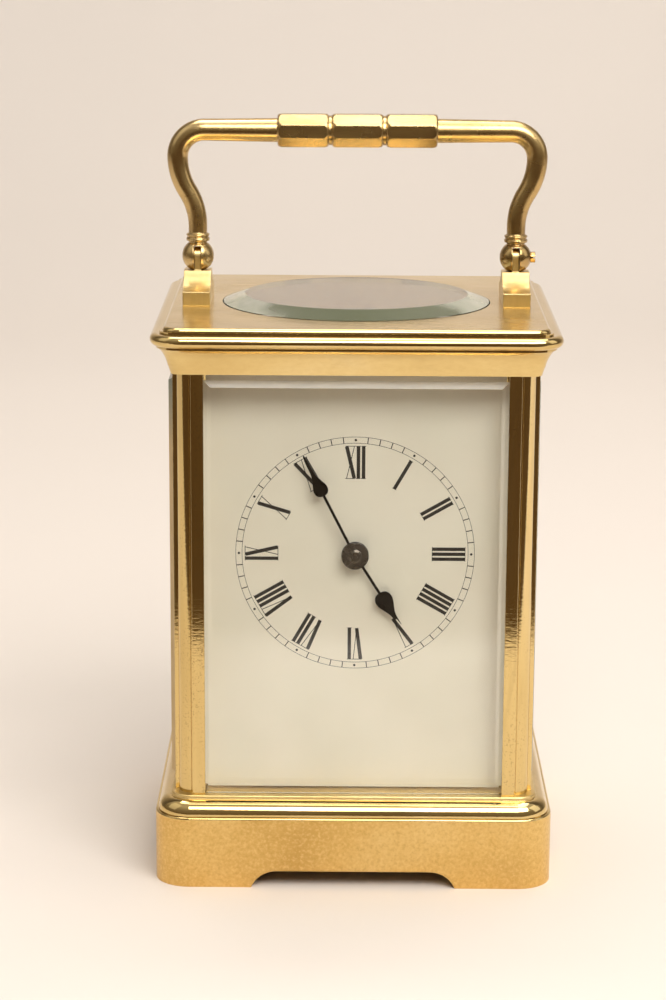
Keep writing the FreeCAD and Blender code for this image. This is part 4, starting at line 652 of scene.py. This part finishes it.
def numeral(sheet, text, angle):
    """A numeral that reads outwards from the centre, with bars across its top and foot."""
    side = -sum(LETTER_WIDE[letter] for letter in text) / 2
    for letter in text:
        wide = LETTER_WIDE[letter]
        letter_strokes(sheet, letter, angle, side + wide / 2)
        bars = [NUMERAL_HIGH - SERIF / 2]
        if letter != "V":
            bars.insert(0, NUMERAL_LOW + SERIF / 2)
        for radius in bars:
            sheet.stroke(on_ray(angle, radius, side + SERIF_GAP),
                         on_ray(angle, radius, side + wide - SERIF_GAP), SERIF)
        side += wide


def build_numerals():
    sheet = Sheet()
    for hour, text in enumerate(NUMERALS):
        numeral(sheet, text, hour * 30)
    sheet.piece("dial_numerals")


build_track()
build_numerals()


# ---------------------------------------------------------------- stage, light, camera

FLOOR_HALF, WALL_BACK, SWEEP, WALL_HIGH, SWEEP_STEPS = 3.0, 1.1, 0.5, 3.0, 16


def build_stage():
    """A floor that sweeps up into a backdrop."""
    turns = [math.pi / 2 * i / SWEEP_STEPS for i in range(1, SWEEP_STEPS + 1)]
    foot = WALL_BACK - SWEEP
    line = [(-FLOOR_HALF, 0.0), (foot, 0.0)]
    line += [(foot + SWEEP * math.sin(a), SWEEP - SWEEP * math.cos(a)) for a in turns]
    line.append((WALL_BACK, WALL_HIGH))
    points = [(x, y, z) for y, z in line for x in (-FLOOR_HALF, FLOOR_HALF)]
    faces = [(2 * i, 2 * i + 1, 2 * i + 3, 2 * i + 2) for i in range(len(line) - 1)]
    mesh = bpy.data.meshes.new("sweep")
    mesh.from_pydata(points, [], faces)
    mesh.materials.append(paper())
    floor = bpy.data.objects.new("sweep", mesh)
    bpy.context.scene.collection.objects.link(floor)
    for face in mesh.polygons:
        face.use_smooth = True


CLOCK_MIDDLE = (0, 0, 0.07)
LIGHT_COLOUR = (1.0, 0.985, 0.965)
# Each soft light: name, place, what it faces, width, height, watts.
LIGHTS = [
    ("key_front", (0.28, -0.66, 0.80), CLOCK_MIDDLE, 0.85, 0.55, 11.0),
    ("side_right", (0.85, -0.10, 0.55), CLOCK_MIDDLE, 0.50, 0.70, 0.9),
    ("fill_left", (-0.80, -0.25, 0.70), CLOCK_MIDDLE, 0.60, 0.80, 0.6),
    ("overhead", (0.03, 0.05, 1.00), CLOCK_MIDDLE, 0.85, 0.50, 4.0),
    ("backdrop", (0.10, 0.45, 1.25), (0.10, 1.1, 0.25), 0.9, 0.4, 6.2),
]


def softbox(name, place, aim, wide, high, watts):
    data = bpy.data.lights.new(name, "AREA")
    data.shape = "RECTANGLE"
    data.size = wide
    data.size_y = high
    data.energy = watts
    data.color = LIGHT_COLOUR
    lamp = bpy.data.objects.new(name, data)
    lamp.location = place
    lamp.rotation_euler = (Vector(aim) - Vector(place)).to_track_quat("-Z", "Y").to_euler()
    bpy.context.scene.collection.objects.link(lamp)


ROOM_LIGHT, ROOM_LIGHT_TONE = 0.13, (1.0, 0.965, 0.93)
# The mirrored room's colour against the height of the direction, from level to nearly overhead.
ROOM_MIRRORED = [(0.0, (0.20, 0.16, 0.11)), (0.35, (0.24, 0.20, 0.15)),
                 (0.60, (0.40, 0.36, 0.30)), (0.85, (0.60, 0.56, 0.50))]


def build_world():
    """A dim light all round, a darker room for what the brass mirrors, a pale one to look at."""
    world = bpy.data.worlds.new("room")
    world.use_nodes = True
    tree = world.node_tree
    links = tree.links

    def made(kind):
        return tree.nodes.new("ShaderNode" + kind)

    def blend(amount, first, second):
        mix = made("MixShader")
        links.new(amount, mix.inputs["Fac"])
        links.new(first, mix.inputs[1])
        links.new(second, mix.inputs[2])
        return mix.outputs["Shader"]

    plain = tree.nodes["Background"]
    plain.inputs["Color"].default_value = (*ROOM_LIGHT_TONE, 1.0)
    plain.inputs["Strength"].default_value = ROOM_LIGHT
    parts = made("SeparateXYZ")
    links.new(made("TexCoord").outputs["Generated"], parts.inputs["Vector"])
    ramp = made("ValToRGB")
    links.new(parts.outputs["Z"], ramp.inputs["Fac"])
    points = ramp.color_ramp.elements
    while len(points) < len(ROOM_MIRRORED):
        points.new(0.5)
    for point, (position, colour) in zip(points, ROOM_MIRRORED):
        point.position = position
        point.color = (*colour, 1.0)
    mirrored = made("Background")
    links.new(ramp.outputs["Color"], mirrored.inputs["Color"])
    seen = made("Background")
    seen.inputs["Color"].default_value = (*ROOM_TONE, 1.0)
    path = made("LightPath")
    bounced = blend(path.outputs["Is Glossy Ray"], plain.outputs["Background"],
                    mirrored.outputs["Background"])
    surface = blend(path.outputs["Is Camera Ray"], bounced, seen.outputs["Background"])
    links.new(surface, tree.nodes["World Output"].inputs["Surface"])
    bpy.context.scene.world = world


# The camera: degrees of turn, tilt down and roll; place in metres; lens and sensor in mm.
YAW, PITCH, ROLL = (math.radians(x) for x in (-0.272, 13.502, 0.303))
CAMERA_PLACE = Vector((-0.00194, -0.55264, 0.20453))
LENS, SENSOR_WIDE = 98.38, 36


def build_camera():
    forward = Vector((math.sin(YAW) * math.cos(PITCH), math.cos(YAW) * math.cos(PITCH),
                      -math.sin(PITCH)))
    level = Vector((math.cos(YAW), -math.sin(YAW), 0))
    lifted = level.cross(forward)
    right = level * math.cos(ROLL) + lifted * math.sin(ROLL)
    up = lifted * math.cos(ROLL) - level * math.sin(ROLL)
    lens = bpy.data.cameras.new("camera")
    lens.lens = LENS
    lens.sensor_width = SENSOR_WIDE
    camera = bpy.data.objects.new("camera", lens)
    turn = Matrix((right, up, -forward)).transposed().to_4x4()
    camera.matrix_world = Matrix.Translation(CAMERA_PLACE) @ turn
    bpy.context.scene.collection.objects.link(camera)
    bpy.context.scene.camera = camera


build_stage()
for light in LIGHTS:
    softbox(*light)
build_world()
build_camera()
bpy.context.scene.view_settings.view_transform = "Standard"
